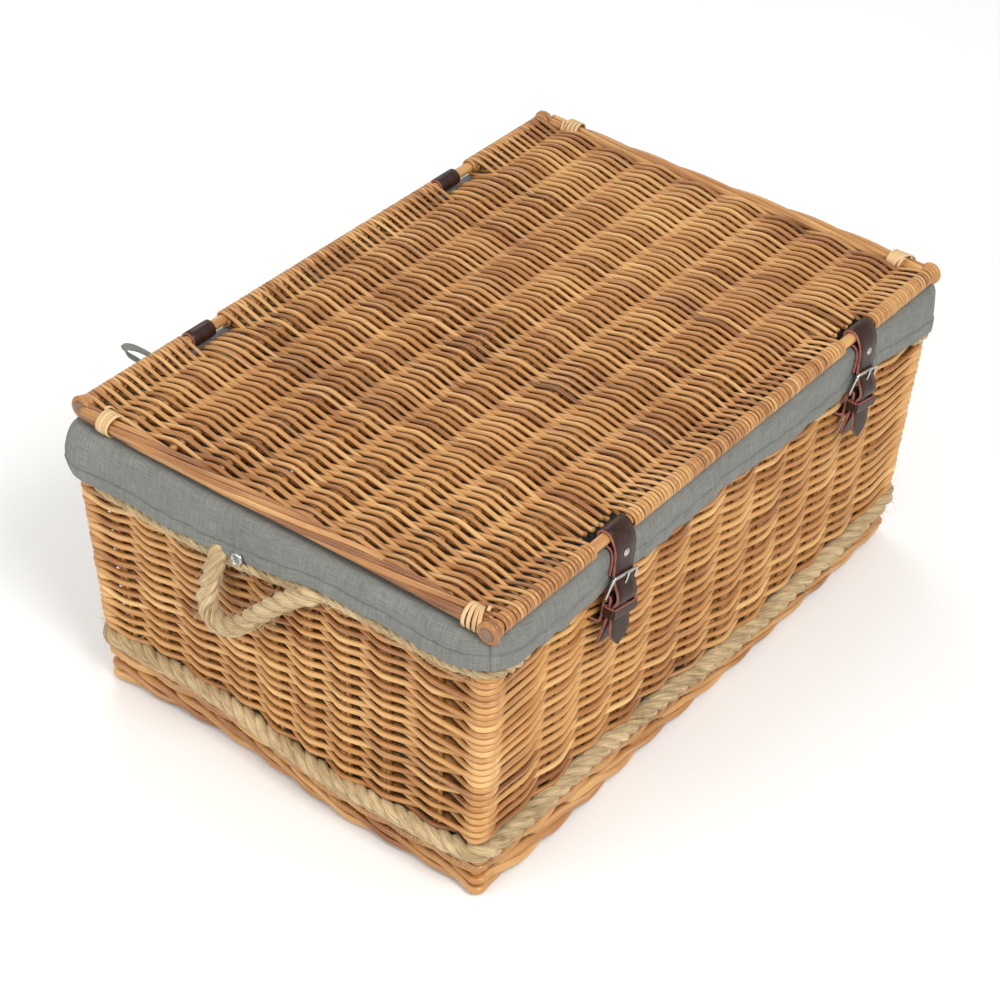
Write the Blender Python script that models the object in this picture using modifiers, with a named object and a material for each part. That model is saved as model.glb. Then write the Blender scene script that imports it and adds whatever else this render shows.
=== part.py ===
"""Lined willow hamper: a woven basket with a hinged lid, rope handles, a cloth liner and two buckled straps.

Metres, +Z up. The origin is the centre of the underside. +X runs along the length, the straps are on
the -Y side and the lid's hinge is on the +Y side. W in a comment is the distance outwards from the XZ
plane, so a front piece at W has Y = -W.
"""

import math

import bmesh
import bpy
from mathutils import Matrix, Vector

# Driving sizes
GAP = 0.0003  # between touching pieces
HALF_LENGTH = 0.3155  # outer face of the weave at the rim, along X
HALF_WIDTH = 0.212  # outer face of the weave at the rim, along Y
RIM_Z = 0.270
END_TAPER, SIDE_TAPER = 0.012, 0.006  # how much the weave closes in from the rim to the floor, each end and side
FOOT_TOP, WALL_BOTTOM, WALL_TOP = 0.0297, 0.030, 0.256
WALL_THICK = 0.013
POST = 0.020
POST_ROUND = 0.017
BORDER_TOP = 0.268
BORDER_THICK = 0.013
FOOT_THICK = 0.018
BASE_THICK = 0.0133

# Rope
TRIM_R, TRIM_Z = 0.0075, (0.040, 0.046, 0.050, 0.033)
TOP_TRIM_R = 0.005
TOP_TRIM_Z = (0.240, 0.2215, 0.246, 0.242)  # at the back right, back left, front left and front right corners
HANDLE_R = 0.0095
HANDLE_Z = 0.212
HANDLE_AXIS_X = 0.3242
HANDLE_Y = (0.049, -0.053)  # where the two ends of a handle enter the wall

# Liner
CLOTH = 0.0015
HEM_Z = (0.237, 0.2225, 0.249, 0.237)  # the skirt hangs unevenly: its hem at the same four corners

# Lid
ROD_Y, ROD_Z, ROD_R = 0.2075, 0.282, 0.0048
LID_HALF = 0.310
WRAP_R = 0.008
PANEL_X = 0.296
PANEL_HALF_THICK = 0.0055
NOTCH_SHORT, NOTCH_LONG = 0.0146, 0.030  # bare rod either side of the middle of a leather
STAKE_Y = 0.178  # the first stake in from each rod

# Leather
LEATHER = 0.0024
STRAP_WIDTH = 0.026
STRAP_X = (-0.160, 0.188)
HINGE_X = (-0.169, 0.153)
SLANT = math.radians(12)  # the straps run down to the left
FLEX_Z = 0.262  # where a strap's single leather starts, below its riveted loop
INNER_LEG_W, OUTER_LEG_W = 0.2153, 0.2180
HEEL_BAR = Vector((0, -0.2180, 0.230))
TIP_BAR = Vector((0, -0.2219, 0.250))
WIRE_R = 0.0012
PRONG_R = 0.0009

SIDES = ("left", "right")


def clear_scene():
    for obj in list(bpy.data.objects):
        bpy.data.objects.remove(obj)


def collection(name):
    found = bpy.data.collections.new(name)
    bpy.context.scene.collection.children.link(found)
    return found


def material(name, colour, roughness, metallic=0.0):
    made = bpy.data.materials.new(name)
    made.use_nodes = True
    shader = made.node_tree.nodes["Principled BSDF"]
    shader.inputs["Base Color"].default_value = (*colour, 1)
    shader.inputs["Roughness"].default_value = roughness
    shader.inputs["Metallic"].default_value = metallic
    return made


def add(name, data, look, parent=None, into=None):
    obj = bpy.data.objects.new(name, data)
    (into or PARTS).objects.link(obj)
    if look:
        data.materials.append(look)
    obj.parent = parent
    return obj


def axis_empty(name, place, turn_y=0.0):
    """A joint's axis, or the frame that slanted pieces hang from."""
    empty = bpy.data.objects.new(name, None)
    PARTS.objects.link(empty)
    empty.location = place
    empty.rotation_euler = (0, turn_y, 0)
    return empty


def local_to(parent, points):
    """World points as seen from an unturned parent, or strap points as seen from its slanted frame."""
    return [Vector(p) - parent.location for p in points] if parent else [Vector(p) for p in points]


def as_mesh(name, bm):
    mesh = bpy.data.meshes.new(name)
    bmesh.ops.recalc_face_normals(bm, faces=bm.faces)
    bm.to_mesh(mesh)
    bm.free()
    return mesh


def smooth(obj, degrees=35):
    obj.data.shade_smooth()
    obj.data.set_sharp_from_angle(angle=math.radians(degrees))
    return obj


def squeeze(z, half):
    """How much the weave narrows at a height, as a factor of its half width at the rim."""
    closing = END_TAPER if half == HALF_LENGTH else SIDE_TAPER
    return 1 - closing / half * max(0.0, RIM_Z - z) / RIM_Z


def taper(bm):
    for v in bm.verts:
        v.co.x *= squeeze(v.co.z, HALF_LENGTH)
        v.co.y *= squeeze(v.co.z, HALF_WIDTH)


def block(name, low, high, look, round_corners=(), radius=0.0, tapered=True, parent=None):
    """A box between two corners. round_corners lists the (sign x, sign y) upright edges to round off."""
    low, high = Vector(low), Vector(high)
    bm = bmesh.new()
    bmesh.ops.create_cube(bm, size=1)
    size, middle = high - low, (high + low) / 2
    for v in bm.verts:
        v.co = Vector(v.co[i] * size[i] + middle[i] for i in range(3))
    upright = []
    for edge in bm.edges:
        a, b = edge.verts[0].co - middle, edge.verts[1].co - middle
        if abs(a.z - b.z) > size.z / 2 and (math.copysign(1, a.x), math.copysign(1, a.y)) in round_corners:
            upright.append(edge)
    if upright:
        bmesh.ops.bevel(bm, geom=upright, offset=radius, segments=5, affect="EDGES", profile=0.5)
    if tapered:
        taper(bm)
    if parent:
        bmesh.ops.translate(bm, verts=bm.verts, vec=-parent.location)
    return smooth(add(name, as_mesh(name, bm), look, parent))


def cylinder(name, a, b, radius, look, segments=16, parent=None, into=None):
    a, b = Vector(a), Vector(b)
    if parent:
        a, b = a - parent.location, b - parent.location
    turn = (b - a).to_track_quat("Z", "Y").to_matrix().to_4x4()
    bm = bmesh.new()
    bmesh.ops.create_cone(bm, cap_ends=True, segments=segments, radius1=radius, radius2=radius,
                          depth=(b - a).length, matrix=Matrix.Translation((a + b) / 2) @ turn)
    return smooth(add(name, as_mesh(name, bm), look, parent, into))


def turned(name, profile, place, direction, look, segments=16, parent=None):
    """A profile of (radius, height), top to bottom, turned about an axis through place."""
    mesh = bpy.data.meshes.new(name)
    mesh.from_pydata([(r, 0, h) for r, h in profile], [(i, i + 1) for i in range(len(profile) - 1)], [])
    obj = add(name, mesh, look, parent)
    obj.location = local_to(parent, [place])[0]
    obj.rotation_euler = Vector(direction).to_track_quat("Z", "Y").to_euler()
    screw = obj.modifiers.new("turn", "SCREW")
    screw.steps = screw.render_steps = segments
    screw.use_merge_vertices = True
    screw.merge_threshold = 0.00001
    return obj


def tube(name, points, radius, look, cyclic=False, resolution=2, parent=None, into=None):
    curve = bpy.data.curves.new(name, "CURVE")
    curve.dimensions = "3D"
    spline = curve.splines.new("POLY")
    spline.points.add(len(points) - 1)
    for point, place in zip(spline.points, local_to(parent, points)):
        point.co = (*place, 1)
    spline.use_cyclic_u = cyclic
    spline.use_smooth = True
    curve.bevel_depth = radius
    curve.bevel_resolution = resolution
    curve.use_fill_caps = True
    return add(name, curve, look, parent, into)


def meshed(obj):
    """A curve's evaluated surface as a mesh object of the same name, with its caps joined on."""
    graph = bpy.context.evaluated_depsgraph_get()
    mesh = bpy.data.meshes.new_from_object(obj.evaluated_get(graph))
    bm = bmesh.new()
    bm.from_mesh(mesh)
    bmesh.ops.remove_doubles(bm, verts=bm.verts, dist=0.00001)
    bmesh.ops.recalc_face_normals(bm, faces=bm.faces)
    bm.to_mesh(mesh)
    bm.free()
    name, home, parent = obj.name, obj.users_collection[0], obj.parent
    bpy.data.objects.remove(obj)
    made = bpy.data.objects.new(name, mesh)
    home.objects.link(made)
    made.parent = parent
    return made


def ribbon(name, path, width, thick, look, closed=False, plane="YZ", parent=None, lean=0.0):
    """A strap that follows a path: (y, z) points with its width along X, or (x, y) points with it along Z.

    lean is the slope of its first edge, so that a slanted strap can start on a level line.
    """
    bm = bmesh.new()
    rows = []
    for u, v in path:
        if plane == "YZ":
            rise = 0 if rows else lean * width / 2
            ends = [(-width / 2, u, v - rise), (width / 2, u, v + rise)]
        else:
            ends = [(u, v, -width / 2), (u, v, width / 2)]
        rows.append([bm.verts.new(p) for p in ends])
    pairs = zip(rows, rows[1:] + rows[:1]) if closed else zip(rows, rows[1:])
    for (a, b), (c, d) in pairs:
        bm.faces.new((a, b, d, c))
    obj = add(name, as_mesh(name, bm), look, parent)
    shell = obj.modifiers.new("leather", "SOLIDIFY")
    shell.thickness = thick
    shell.offset = 0
    shell.use_even_offset = True
    return smooth(obj)


def cut(obj, *cutters):
    for cutter in cutters:
        boolean = obj.modifiers.new(cutter.name, "BOOLEAN")
        boolean.operation = "DIFFERENCE"
        boolean.object = cutter
        cutter.hide_render = True
        cutter.display_type = "WIRE"
    return obj


def union(obj, other):
    boolean = obj.modifiers.new(other.name, "BOOLEAN")
    boolean.operation = "UNION"
    boolean.object = other
    other.hide_render = True
    other.display_type = "WIRE"
    return obj


def box_cutter(name, low, high, parent=None):
    obj = block(name, low, high, None, tapered=False)
    PARTS.objects.unlink(obj)
    CUTTERS.objects.link(obj)
    obj.parent = parent
    return obj


def arc(centre, radius, start, end, count):
    """Points on an arc between two angles in degrees, both ends included."""
    turns = [math.radians(start + (end - start) * i / (count - 1)) for i in range(count)]
    return [(centre[0] + radius * math.cos(t), centre[1] + radius * math.sin(t)) for t in turns]


def with_heights(outline, heights):
    """An outline's points at a height for each of its four corners."""
    per_corner = len(outline) // 4
    return [(x, y, heights[i // per_corner]) for i, (x, y) in enumerate(outline)]


def rounded_rectangle(half_x, half_y, radius, per_corner=5):
    points = []
    for sx, sy, start in ((1, 1, 0), (-1, 1, 90), (-1, -1, 180), (1, -1, 270)):
        centre = (sx * (half_x - radius), sy * (half_y - radius))
        points += arc(centre, radius, start, start + 90, per_corner)
    return points


def outwards(points, side=-1):
    """(W, z) points as (y, z), on the front for side -1 and on the back for side 1."""
    return [(side * w, z) for w, z in points]


# ---------------------------------------------------------------- the woven body

def rope_ring(name, radius, heights, inset, look, corner):
    """A rope laid round the basket, its middle that far inside the weave's face."""
    z = min(heights)
    half_x = HALF_LENGTH * squeeze(z, HALF_LENGTH) - inset
    half_y = HALF_WIDTH * squeeze(z, HALF_WIDTH) - inset
    points = with_heights(rounded_rectangle(half_x, half_y, corner), heights)
    ring = tube(name, points, radius, look, cyclic=True)
    groove = meshed(tube(name + "_groove", points, radius + GAP, None, cyclic=True, into=CUTTERS))
    return ring, groove


def woven_body(grooves):
    x, y = HALF_LENGTH, HALF_WIDTH
    inner_x, inner_y = x - FOOT_THICK, y - FOOT_THICK
    block("base_panel", (-inner_x + 2 * GAP, -inner_y + GAP, 0), (inner_x - 2 * GAP, inner_y - GAP, BASE_THICK), WILLOW)
    for side, name in ((-1, "front"), (1, "back")):
        near, far = sorted((side * y, side * inner_y))
        foot = block("foot_" + name, (-x, near, 0), (x, far, FOOT_TOP), WILLOW, ((-1, side), (1, side)), 0.016)
        cut(foot, grooves[0])
        near, far = sorted((side * (y - GAP), side * (y - GAP - WALL_THICK)))
        end = x - POST - GAP
        wall = block("wall_" + name, (-end, near, WALL_BOTTOM), (end, far, WALL_TOP), WILLOW)
        cut(wall, *grooves)
        near, far = sorted((side * (y - 0.0015), side * (y - 0.0015 - BORDER_THICK)))
        block("border_" + name, (-x + 0.0015, near, WALL_TOP + GAP), (x - 0.0015, far, BORDER_TOP), WILLOW,
              ((-1, side), (1, side)), 0.012)
    for side, name in ((-1, "left"), (1, "right")):
        near, far = sorted((side * x, side * inner_x))
        foot = block("foot_" + name, (near, -inner_y + GAP, 0), (far, inner_y - GAP, FOOT_TOP), WILLOW)
        cut(foot, grooves[0])
        near, far = sorted((side * (x - GAP), side * (x - GAP - WALL_THICK)))
        end = y - POST - GAP
        wall = block("wall_" + name, (near, -end, WALL_BOTTOM), (far, end, WALL_TOP), WILLOW)
        cut(wall, *grooves)
        for k, place in enumerate(HANDLE_Y):
            hole = cylinder(f"handle_hole_{name}_{k}", (side * 0.28, place, HANDLE_Z), (side * 0.34, place, HANDLE_Z),
                            0.0084, None, into=CUTTERS)
            cut(wall, hole)
        near, far = sorted((side * (x - 0.0015), side * (x - 0.0015 - BORDER_THICK)))
        end = y - 0.0015 - BORDER_THICK - GAP
        block("border_" + name, (near, -end, WALL_TOP + GAP), (far, end, BORDER_TOP), WILLOW)
    for sx, name_x in ((-1, "left"), (1, "right")):
        for sy, name_y in ((-1, "front"), (1, "back")):
            low = (min(sx * x, sx * (x - POST)), min(sy * y, sy * (y - POST)), WALL_BOTTOM)
            high = (max(sx * x, sx * (x - POST)), max(sy * y, sy * (y - POST)), WALL_TOP)
            post = block(f"corner_post_{name_y}_{name_x}", low, high, WILLOW, ((sx, sy),), POST_ROUND)
            cut(post, *grooves)


def liner():
    """One open-topped cloth bag, folded out over the border, with a skirt down the outside."""
    rings = ((0.31655, 0.21305, 0.014, HEM_Z), (0.31655, 0.21305, 0.014, 0.268), (0.3130, 0.2095, 0.0125, 0.2716),
             (0.2990, 0.1955, 0.008, 0.2716), (0.2985, 0.1950, 0.008, 0.268), (0.2880, 0.1940, 0.012, 0.240),
             (0.2870, 0.1885, 0.012, 0.060), (0.2830, 0.1858, 0.012, 0.0146))
    bm = bmesh.new()
    rows = []
    for half_x, half_y, radius, height in rings:
        heights = height if isinstance(height, tuple) else (height,) * 4
        rows.append([bm.verts.new(p) for p in with_heights(rounded_rectangle(half_x, half_y, radius), heights)])
    for above, below in zip(rows, rows[1:]):
        for i in range(len(above)):
            j = (i + 1) % len(above)
            bm.faces.new((above[i], above[j], below[j], below[i]))
    bm.faces.new(rows[-1])
    obj = add("liner", as_mesh("liner", bm), CLOTH_GREY)
    shell = obj.modifiers.new("cloth", "SOLIDIFY")
    shell.thickness = CLOTH
    shell.offset = 0
    shell.use_even_offset = True
    smooth(obj)


def liner_tie():
    """The loop of tape that stands out of the liner at the back left."""
    points = ((-0.196, 0.2168, 0.258), (-0.203, 0.2210, 0.268), (-0.214, 0.2265, 0.279), (-0.224, 0.2295, 0.288),
              (-0.231, 0.2300, 0.292), (-0.2335, 0.2290, 0.2885), (-0.227, 0.2260, 0.279), (-0.216, 0.2210, 0.266),
              (-0.206, 0.2168, 0.254))
    tube("liner_tie", points, 0.0025, CLOTH_GREY)


def press_studs():
    for side, name in ((-1, "left"), (1, "right")):
        turned("press_stud_" + name, ((0, 0.0026), (0.0045, 0.0022), (0.0058, 0.0010), (0.0058, 0), (0, 0)),
               (side * (0.3173 + GAP), 0.030, 0.2375), (side, 0, 0), NICKEL)


# ---------------------------------------------------------------- rope handles

HANDLE_ROUTE = (  # (y, z, how far it stands out from the axis) of the left handle's middle
    (0.0490, 0.2120, 0.0000), (0.0510, 0.2050, 0.0008), (0.0525, 0.1960, 0.0024), (0.0528, 0.1870, 0.0042),
    (0.0510, 0.1785, 0.0058), (0.0460, 0.1722, 0.0070), (0.0380, 0.1692, 0.0076), (0.0290, 0.1708, 0.0076),
    (0.0200, 0.1765, 0.0070), (0.0110, 0.1838, 0.0060), (0.0020, 0.1912, 0.0049), (-0.0070, 0.1982, 0.0037),
    (-0.0165, 0.2035, 0.0025), (-0.0280, 0.2078, 0.0014), (-0.0405, 0.2106, 0.0005), (-0.0530, 0.2120, 0.0000),
)


def rope_handles():
    for side, name in ((-1, "left"), (1, "right")):
        axis = axis_empty("handle_axis_" + name, (side * HANDLE_AXIS_X, 0, HANDLE_Z))
        route = [(side * (HANDLE_AXIS_X + out), y, z) for y, z, out in HANDLE_ROUTE]
        tube("rope_handle_" + name, route, HANDLE_R, ROPE, parent=axis)
        wall_out = (HALF_LENGTH - GAP) * squeeze(HANDLE_Z, HALF_LENGTH)
        wall_in = (HALF_LENGTH - GAP - WALL_THICK) * squeeze(HANDLE_Z, HALF_LENGTH)
        for end, place in zip(("back", "front"), HANDLE_Y):
            top, back = wall_out - 0.0012, wall_in - 0.0006
            profile = ((0, top), (0.008, top), (0.008, back), (0.012, back - 0.0010), (0.0135, back - 0.0040),
                       (0.0115, back - 0.0076), (0.006, back - 0.0092), (0, back - 0.0095))
            turned(f"handle_knot_{name}_{end}", profile, (0, place, HANDLE_Z), (side, 0, 0), ROPE)


# ---------------------------------------------------------------- leather that wraps a lid rod

def loop_path(bottom_inner, bottom_outer):
    """(W, z) of a leather from its inner leg, round a lid rod, to its outer leg."""
    ring = arc((ROD_Y, ROD_Z), 0.0063, -90, -330, 13)
    inner = [(INNER_LEG_W, bottom_inner), (INNER_LEG_W, 0.2680), (0.2143, 0.2725), (0.2115, 0.2752)]
    outer = [(0.2152, 0.2815), (0.2170, 0.2765), (0.2179, 0.2715), (OUTER_LEG_W, 0.2660), (OUTER_LEG_W, bottom_outer)]
    return inner + ring + outer


def rivet(name, place, direction, look, parent=None):
    """A domed head outside the leather with its shank through both legs."""
    depth = OUTER_LEG_W + LEATHER / 2 - (INNER_LEG_W - LEATHER / 2) - GAP
    profile = ((0, 0.0016), (0.0020, 0.0013), (0.0032, 0.0005), (0.0032, GAP), (0.0013, GAP), (0.0013, -depth),
               (0, -depth))
    return turned(name, profile, place, direction, look, 12, parent)


def rivet_hole(name, place, side):
    a = (place[0], side * 0.2135, place[2])
    b = (place[0], side * 0.2300, place[2])
    return cylinder(name, a, b, 0.0016, None, 12, into=CUTTERS)


def hinge_straps():
    """Each leather comes out of the back wall, up outside the liner, round the lid's rod and down again."""
    for x, name in zip(HINGE_X, SIDES):
        anchor = [(0.2010, 0.211), (0.2110, 0.211), (0.2142, 0.2122), (INNER_LEG_W, 0.2152)]
        path = anchor + loop_path(0.245, 0.240)
        strap = ribbon("hinge_strap_" + name, outwards(path, 1), STRAP_WIDTH, LEATHER, LEATHER_BROWN)
        strap.location.x = x
        slot = box_cutter("hinge_slot_" + name, (x - 0.0134, 0.190, 0.2094), (x + 0.0134, 0.2165, 0.2126))
        cut(bpy.data.objects["wall_back"], slot)
        place = (x, OUTER_LEG_W + LEATHER / 2, 0.257)
        cut(strap, rivet_hole("hinge_rivet_hole_" + name, place, 1))
        rivet("hinge_rivet_" + name, place, (0, 1, 0), NICKEL)


def strap_loops():
    for x, name in zip(STRAP_X, SIDES):
        axis = axis_empty("strap_loop_axis_" + name, (x, -ROD_Y, ROD_Z))
        path = [(y + ROD_Y, z - ROD_Z) for y, z in outwards(loop_path(FLEX_Z, FLEX_Z))]
        loop = ribbon("strap_loop_" + name, path, STRAP_WIDTH, LEATHER, LEATHER_BROWN, parent=axis)
        place = (x, -(OUTER_LEG_W + LEATHER / 2), 0.2675)
        cut(loop, rivet_hole("strap_rivet_hole_" + name, place, -1))
        rivet("strap_rivet_" + name, place, (0, -1, 0), NICKEL, axis)


# ---------------------------------------------------------------- buckles, in the frame of a slanted strap

BILLET_PATH = (  # (W, z) of the single leather from below the riveted loop to its tip
    (0.2180, FLEX_Z - GAP), (0.2182, 0.2560), (0.2190, 0.2500), (0.2203, 0.2462), (0.2222, 0.2425),
    (0.2245, 0.2385), (0.2262, 0.2345), (0.2266, 0.2310), (0.2258, 0.2280), (0.2242, 0.2252), (0.2235, 0.2215),
    (0.2236, 0.2160), (0.2246, 0.2090), (0.2260, 0.2000), (0.2270, 0.1900),
)


def hung(points, pivot):
    """(y, z) points as seen from a pivot at (y, z)."""
    return [(y - pivot[0], z - pivot[1]) for y, z in points]


def buckle_set(x, name):
    tilt = axis_empty("strap_tilt_" + name, (x, 0, FLEX_Z), SLANT)

    def on_tilt(label, y, z):
        empty = axis_empty(label, (0, y, z - FLEX_Z))
        empty.parent = tilt
        return empty

    flex = on_tilt("strap_flex_axis_" + name, -OUTER_LEG_W, FLEX_Z)
    billet = ribbon("strap_billet_" + name, hung(outwards(BILLET_PATH), (-OUTER_LEG_W, FLEX_Z)), STRAP_WIDTH - 0.001,
                    LEATHER, LEATHER_BROWN, parent=flex, lean=math.tan(SLANT))

    heel = on_tilt("buckle_axis_" + name, HEEL_BAR.y, HEEL_BAR.z)
    reach = TIP_BAR - HEEL_BAR
    corners = rounded_rectangle(0.0171 - WIRE_R, reach.length / 2, 0.0025, 3)
    frame_points = [Vector((u, 0, 0)) + reach * (0.5 + v / reach.length) for u, v in corners]
    frame = tube("buckle_frame_" + name, [p + heel.location for p in frame_points], WIRE_R, NICKEL, cyclic=True,
                 parent=heel)
    frame.location = (0, 0, 0)

    hook = [(-math.cos(t) * 0.0023, math.sin(t) * 0.0023) for t in
            (math.radians(a) for a in range(70, 352, 23))]
    tip = (TIP_BAR.y - HEEL_BAR.y - WIRE_R - PRONG_R - 0.0002, TIP_BAR.z - HEEL_BAR.z)
    shank = [(hook[-1][0] + (tip[0] - hook[-1][0]) * f, hook[-1][1] + (tip[1] - hook[-1][1]) * f)
             for f in (0.3, 0.6, 1.0, 1.12)]
    prong_points = [Vector((0, y, z)) + heel.location for y, z in hook + shank]
    tube("buckle_prong_" + name, prong_points, PRONG_R, NICKEL, parent=heel)

    prong_hole = cylinder("prong_hole_" + name, (0, hook[-1][0], hook[-1][1]), (0, tip[0] * 1.15, tip[1] * 1.15),
                          PRONG_R + 0.0004, None, 12, into=CUTTERS)
    prong_hole.parent = heel
    cut(billet, prong_hole)

    fold = arc((HEEL_BAR.y, HEEL_BAR.z), 0.0027, 0, 180, 7)
    path = outwards([(0.2010, 0.2080), (0.2110, 0.2080), (0.2142, 0.2092), (INNER_LEG_W, 0.2122)]) + fold
    path += outwards([(0.2207, 0.2160), (0.2196, 0.2080), (0.2178, 0.2000), (0.2165, 0.1920)])
    lower = ribbon("lower_strap_" + name, hung(path, (0, FLEX_Z)), STRAP_WIDTH, LEATHER, LEATHER_BROWN, parent=tilt)
    slot = box_cutter("prong_slot_" + name, (-0.0022, -0.2225, 0.2225 - FLEX_Z), (0.0022, -0.2139, 0.2340 - FLEX_Z),
                      tilt)
    cut(lower, slot)
    wall_slot = box_cutter("strap_slot_" + name, (-0.0134, -0.2165, 0.2064 - FLEX_Z),
                           (0.0134, -0.190, 0.2096 - FLEX_Z), tilt)
    cut(bpy.data.objects["wall_front"], wall_slot)

    keeper_path = [(u, v - 0.2226) for u, v in rounded_rectangle(0.0152, 0.0046, 0.0016, 3)]
    keeper = ribbon("strap_keeper_" + name, keeper_path, 0.0085, 0.0020, LEATHER_BROWN, closed=True, plane="XY",
                    parent=tilt)
    keeper.location.z = 0.2205 - FLEX_Z


# ---------------------------------------------------------------- lid

def lid():
    axis = axis_empty("lid_hinge_axis", (0, ROD_Y, ROD_Z))
    low, high = ROD_Z - PANEL_HALF_THICK, ROD_Z + PANEL_HALF_THICK
    panel = block("lid_panel", (-PANEL_X, -ROD_Y + 0.003, low), (PANEL_X, ROD_Y - 0.003, high), WILLOW, tapered=False,
                  parent=axis)
    for side, name in ((-1, "front"), (1, "back")):
        y = side * ROD_Y
        sleeve = cylinder("lid_sleeve_" + name, (-0.304, y, ROD_Z), (0.304, y, ROD_Z), WRAP_R, None, 20, into=CUTTERS)
        union(panel, sleeve)
    for side, name in ((-1, "front"), (1, "back")):
        y = side * ROD_Y
        bore = cylinder("lid_bore_" + name, (-0.32, y, ROD_Z), (0.32, y, ROD_Z), ROD_R + GAP, None, 16, into=CUTTERS)
        cut(panel, bore)
        cylinder("lid_rod_" + name, (-LID_HALF, y, ROD_Z), (LID_HALF, y, ROD_Z), ROD_R, WILLOW, parent=axis)
        for x in (STRAP_X, HINGE_X)[side > 0]:
            near, far = sorted((side * STAKE_Y, side * 0.230))
            left, right = (NOTCH_LONG, NOTCH_SHORT)[::-side]
            notch = box_cutter(f"lid_notch_{name}_{x:.3f}", (x - left, near, 0.26), (x + right, far, 0.30))
            cut(panel, notch)
    for side, name in ((-1, "left"), (1, "right")):
        near, far = sorted((side * 0.2985, side * 0.3100))
        block("lid_end_" + name, (near, -0.1992, 0.2755), (far, 0.1992, 0.2885), WILLOW, ((-1, -1), (-1, 1), (1, -1), (1, 1)),
              0.004, tapered=False, parent=axis)
        for place, end in ((-0.182, "front"), (0.182, "back")):
            band_path = [(u + side * 0.30425, v) for u, v in rounded_rectangle(0.0068, 0.0077, 0.0011, 2)]
            binding = ribbon(f"lid_binding_{end}_{name}", band_path, 0.012, 0.0014, SKEIN, closed=True, plane="XY",
                             parent=axis)
            binding.rotation_euler = (math.radians(90), 0, 0)
            binding.location = Vector((0, place, ROD_Z)) - axis.location


clear_scene()
PARTS = collection("lined_hamper")
CUTTERS = collection("cutters")
WILLOW = material("willow", (0.60, 0.33, 0.12), 0.45)
SKEIN = material("skein", (0.72, 0.50, 0.26), 0.45)
ROPE = material("rope", (0.52, 0.42, 0.24), 0.9)
CLOTH_GREY = material("cloth", (0.25, 0.27, 0.25), 0.9)
LEATHER_BROWN = material("leather", (0.05, 0.02, 0.015), 0.4)
NICKEL = material("nickel", (0.62, 0.60, 0.57), 0.25, 1.0)

_, low_groove = rope_ring("rope_trim_bottom", TRIM_R, TRIM_Z, 0.002, ROPE, 0.022)
_, high_groove = rope_ring("rope_trim_top", TOP_TRIM_R, TOP_TRIM_Z, 0.0056, ROPE, 0.018)
woven_body((low_groove, high_groove))
liner()
liner_tie()
press_studs()
rope_handles()
hinge_straps()
lid()
strap_loops()
for strap_x, strap_name in zip(STRAP_X, SIDES):
    buckle_set(strap_x, strap_name)
for helper in CUTTERS.objects:
    helper.hide_render = True
    helper.display_type = "WIRE"
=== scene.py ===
"""The looks of the lined hamper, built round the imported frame. Metres, in the frame's own axes.

+X runs along the length, the straps are on the -Y side and the lid's hinge is on the +Y side.
"""

import math
import random
from itertools import product

import bpy
import numpy as np
from mathutils import Matrix, Vector


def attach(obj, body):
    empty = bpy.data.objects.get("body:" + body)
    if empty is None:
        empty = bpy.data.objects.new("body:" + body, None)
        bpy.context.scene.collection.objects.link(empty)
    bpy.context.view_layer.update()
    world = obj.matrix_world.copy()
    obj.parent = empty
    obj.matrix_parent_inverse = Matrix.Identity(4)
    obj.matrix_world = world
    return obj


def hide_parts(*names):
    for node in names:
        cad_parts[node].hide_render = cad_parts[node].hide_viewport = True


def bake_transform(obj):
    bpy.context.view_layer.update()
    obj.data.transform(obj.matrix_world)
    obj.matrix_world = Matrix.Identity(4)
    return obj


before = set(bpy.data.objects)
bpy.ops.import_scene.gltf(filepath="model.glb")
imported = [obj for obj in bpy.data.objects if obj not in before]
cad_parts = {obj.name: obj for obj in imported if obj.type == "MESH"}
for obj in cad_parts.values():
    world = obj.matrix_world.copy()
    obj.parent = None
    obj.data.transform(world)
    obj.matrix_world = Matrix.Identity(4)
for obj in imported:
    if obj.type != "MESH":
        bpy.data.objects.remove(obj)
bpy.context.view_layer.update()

# Sizes that match the frame's own
HALF_LENGTH, HALF_WIDTH = 0.3155, 0.212  # outer face of the weave at the rim
END_TAPER, SIDE_TAPER, RIM_Z = 0.012, 0.006, 0.270  # how much narrower each end and side is at the foot
ROD_Y, ROD_Z, ROD_R = 0.2075, 0.282, 0.0048
STRAP_X = (-0.160, 0.188)
HINGE_X = (-0.169, 0.153)
NOTCH_SHORT, NOTCH_LONG = 0.0146, 0.030  # how far a notch in the lid's weave goes to each side of its leather
LEATHER, STRAP_WIDTH = 0.0024, 0.026
SLANT, FLEX_Z = math.radians(12), 0.262  # below this height the front straps lean to the left
INNER_LEG_W, OUTER_LEG_W = 0.2153, 0.2180  # how far out each leg of a looped leather lies
CORNERS = tuple(product((-1, 1), (-1, 1)))  # the signs of x and y


# ---------------------------------------------------------------- lines and points

def unit(a):
    a = np.asarray(a, float)
    return a / np.linalg.norm(a)


def xyz(x, y, z):
    """Points from their coordinates, each of them an array or a single number."""
    return np.stack(np.broadcast_arrays(x, y, z), -1).astype(float)


def clamped(value):
    return min(1.0, max(0.0, value))


def run_along(points):
    """How far along a line each of its points lies."""
    return np.concatenate([[0], np.cumsum(np.linalg.norm(np.diff(points, axis=0), axis=1))])


def axes_along(points, side, closed=False):
    """At each point of a line: the way it runs, the way across it nearest to side, and the third axis."""
    tangent = np.roll(points, -1, 0) - np.roll(points, 1, 0) if closed else np.gradient(points, axis=0)
    tangent /= np.linalg.norm(tangent, axis=1)[:, None]
    side = np.broadcast_to(np.asarray(side, float), points.shape)
    across = side - (side * tangent).sum(1)[:, None] * tangent
    across /= np.linalg.norm(across, axis=1)[:, None]
    return tangent, across, np.cross(tangent, across)


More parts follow.
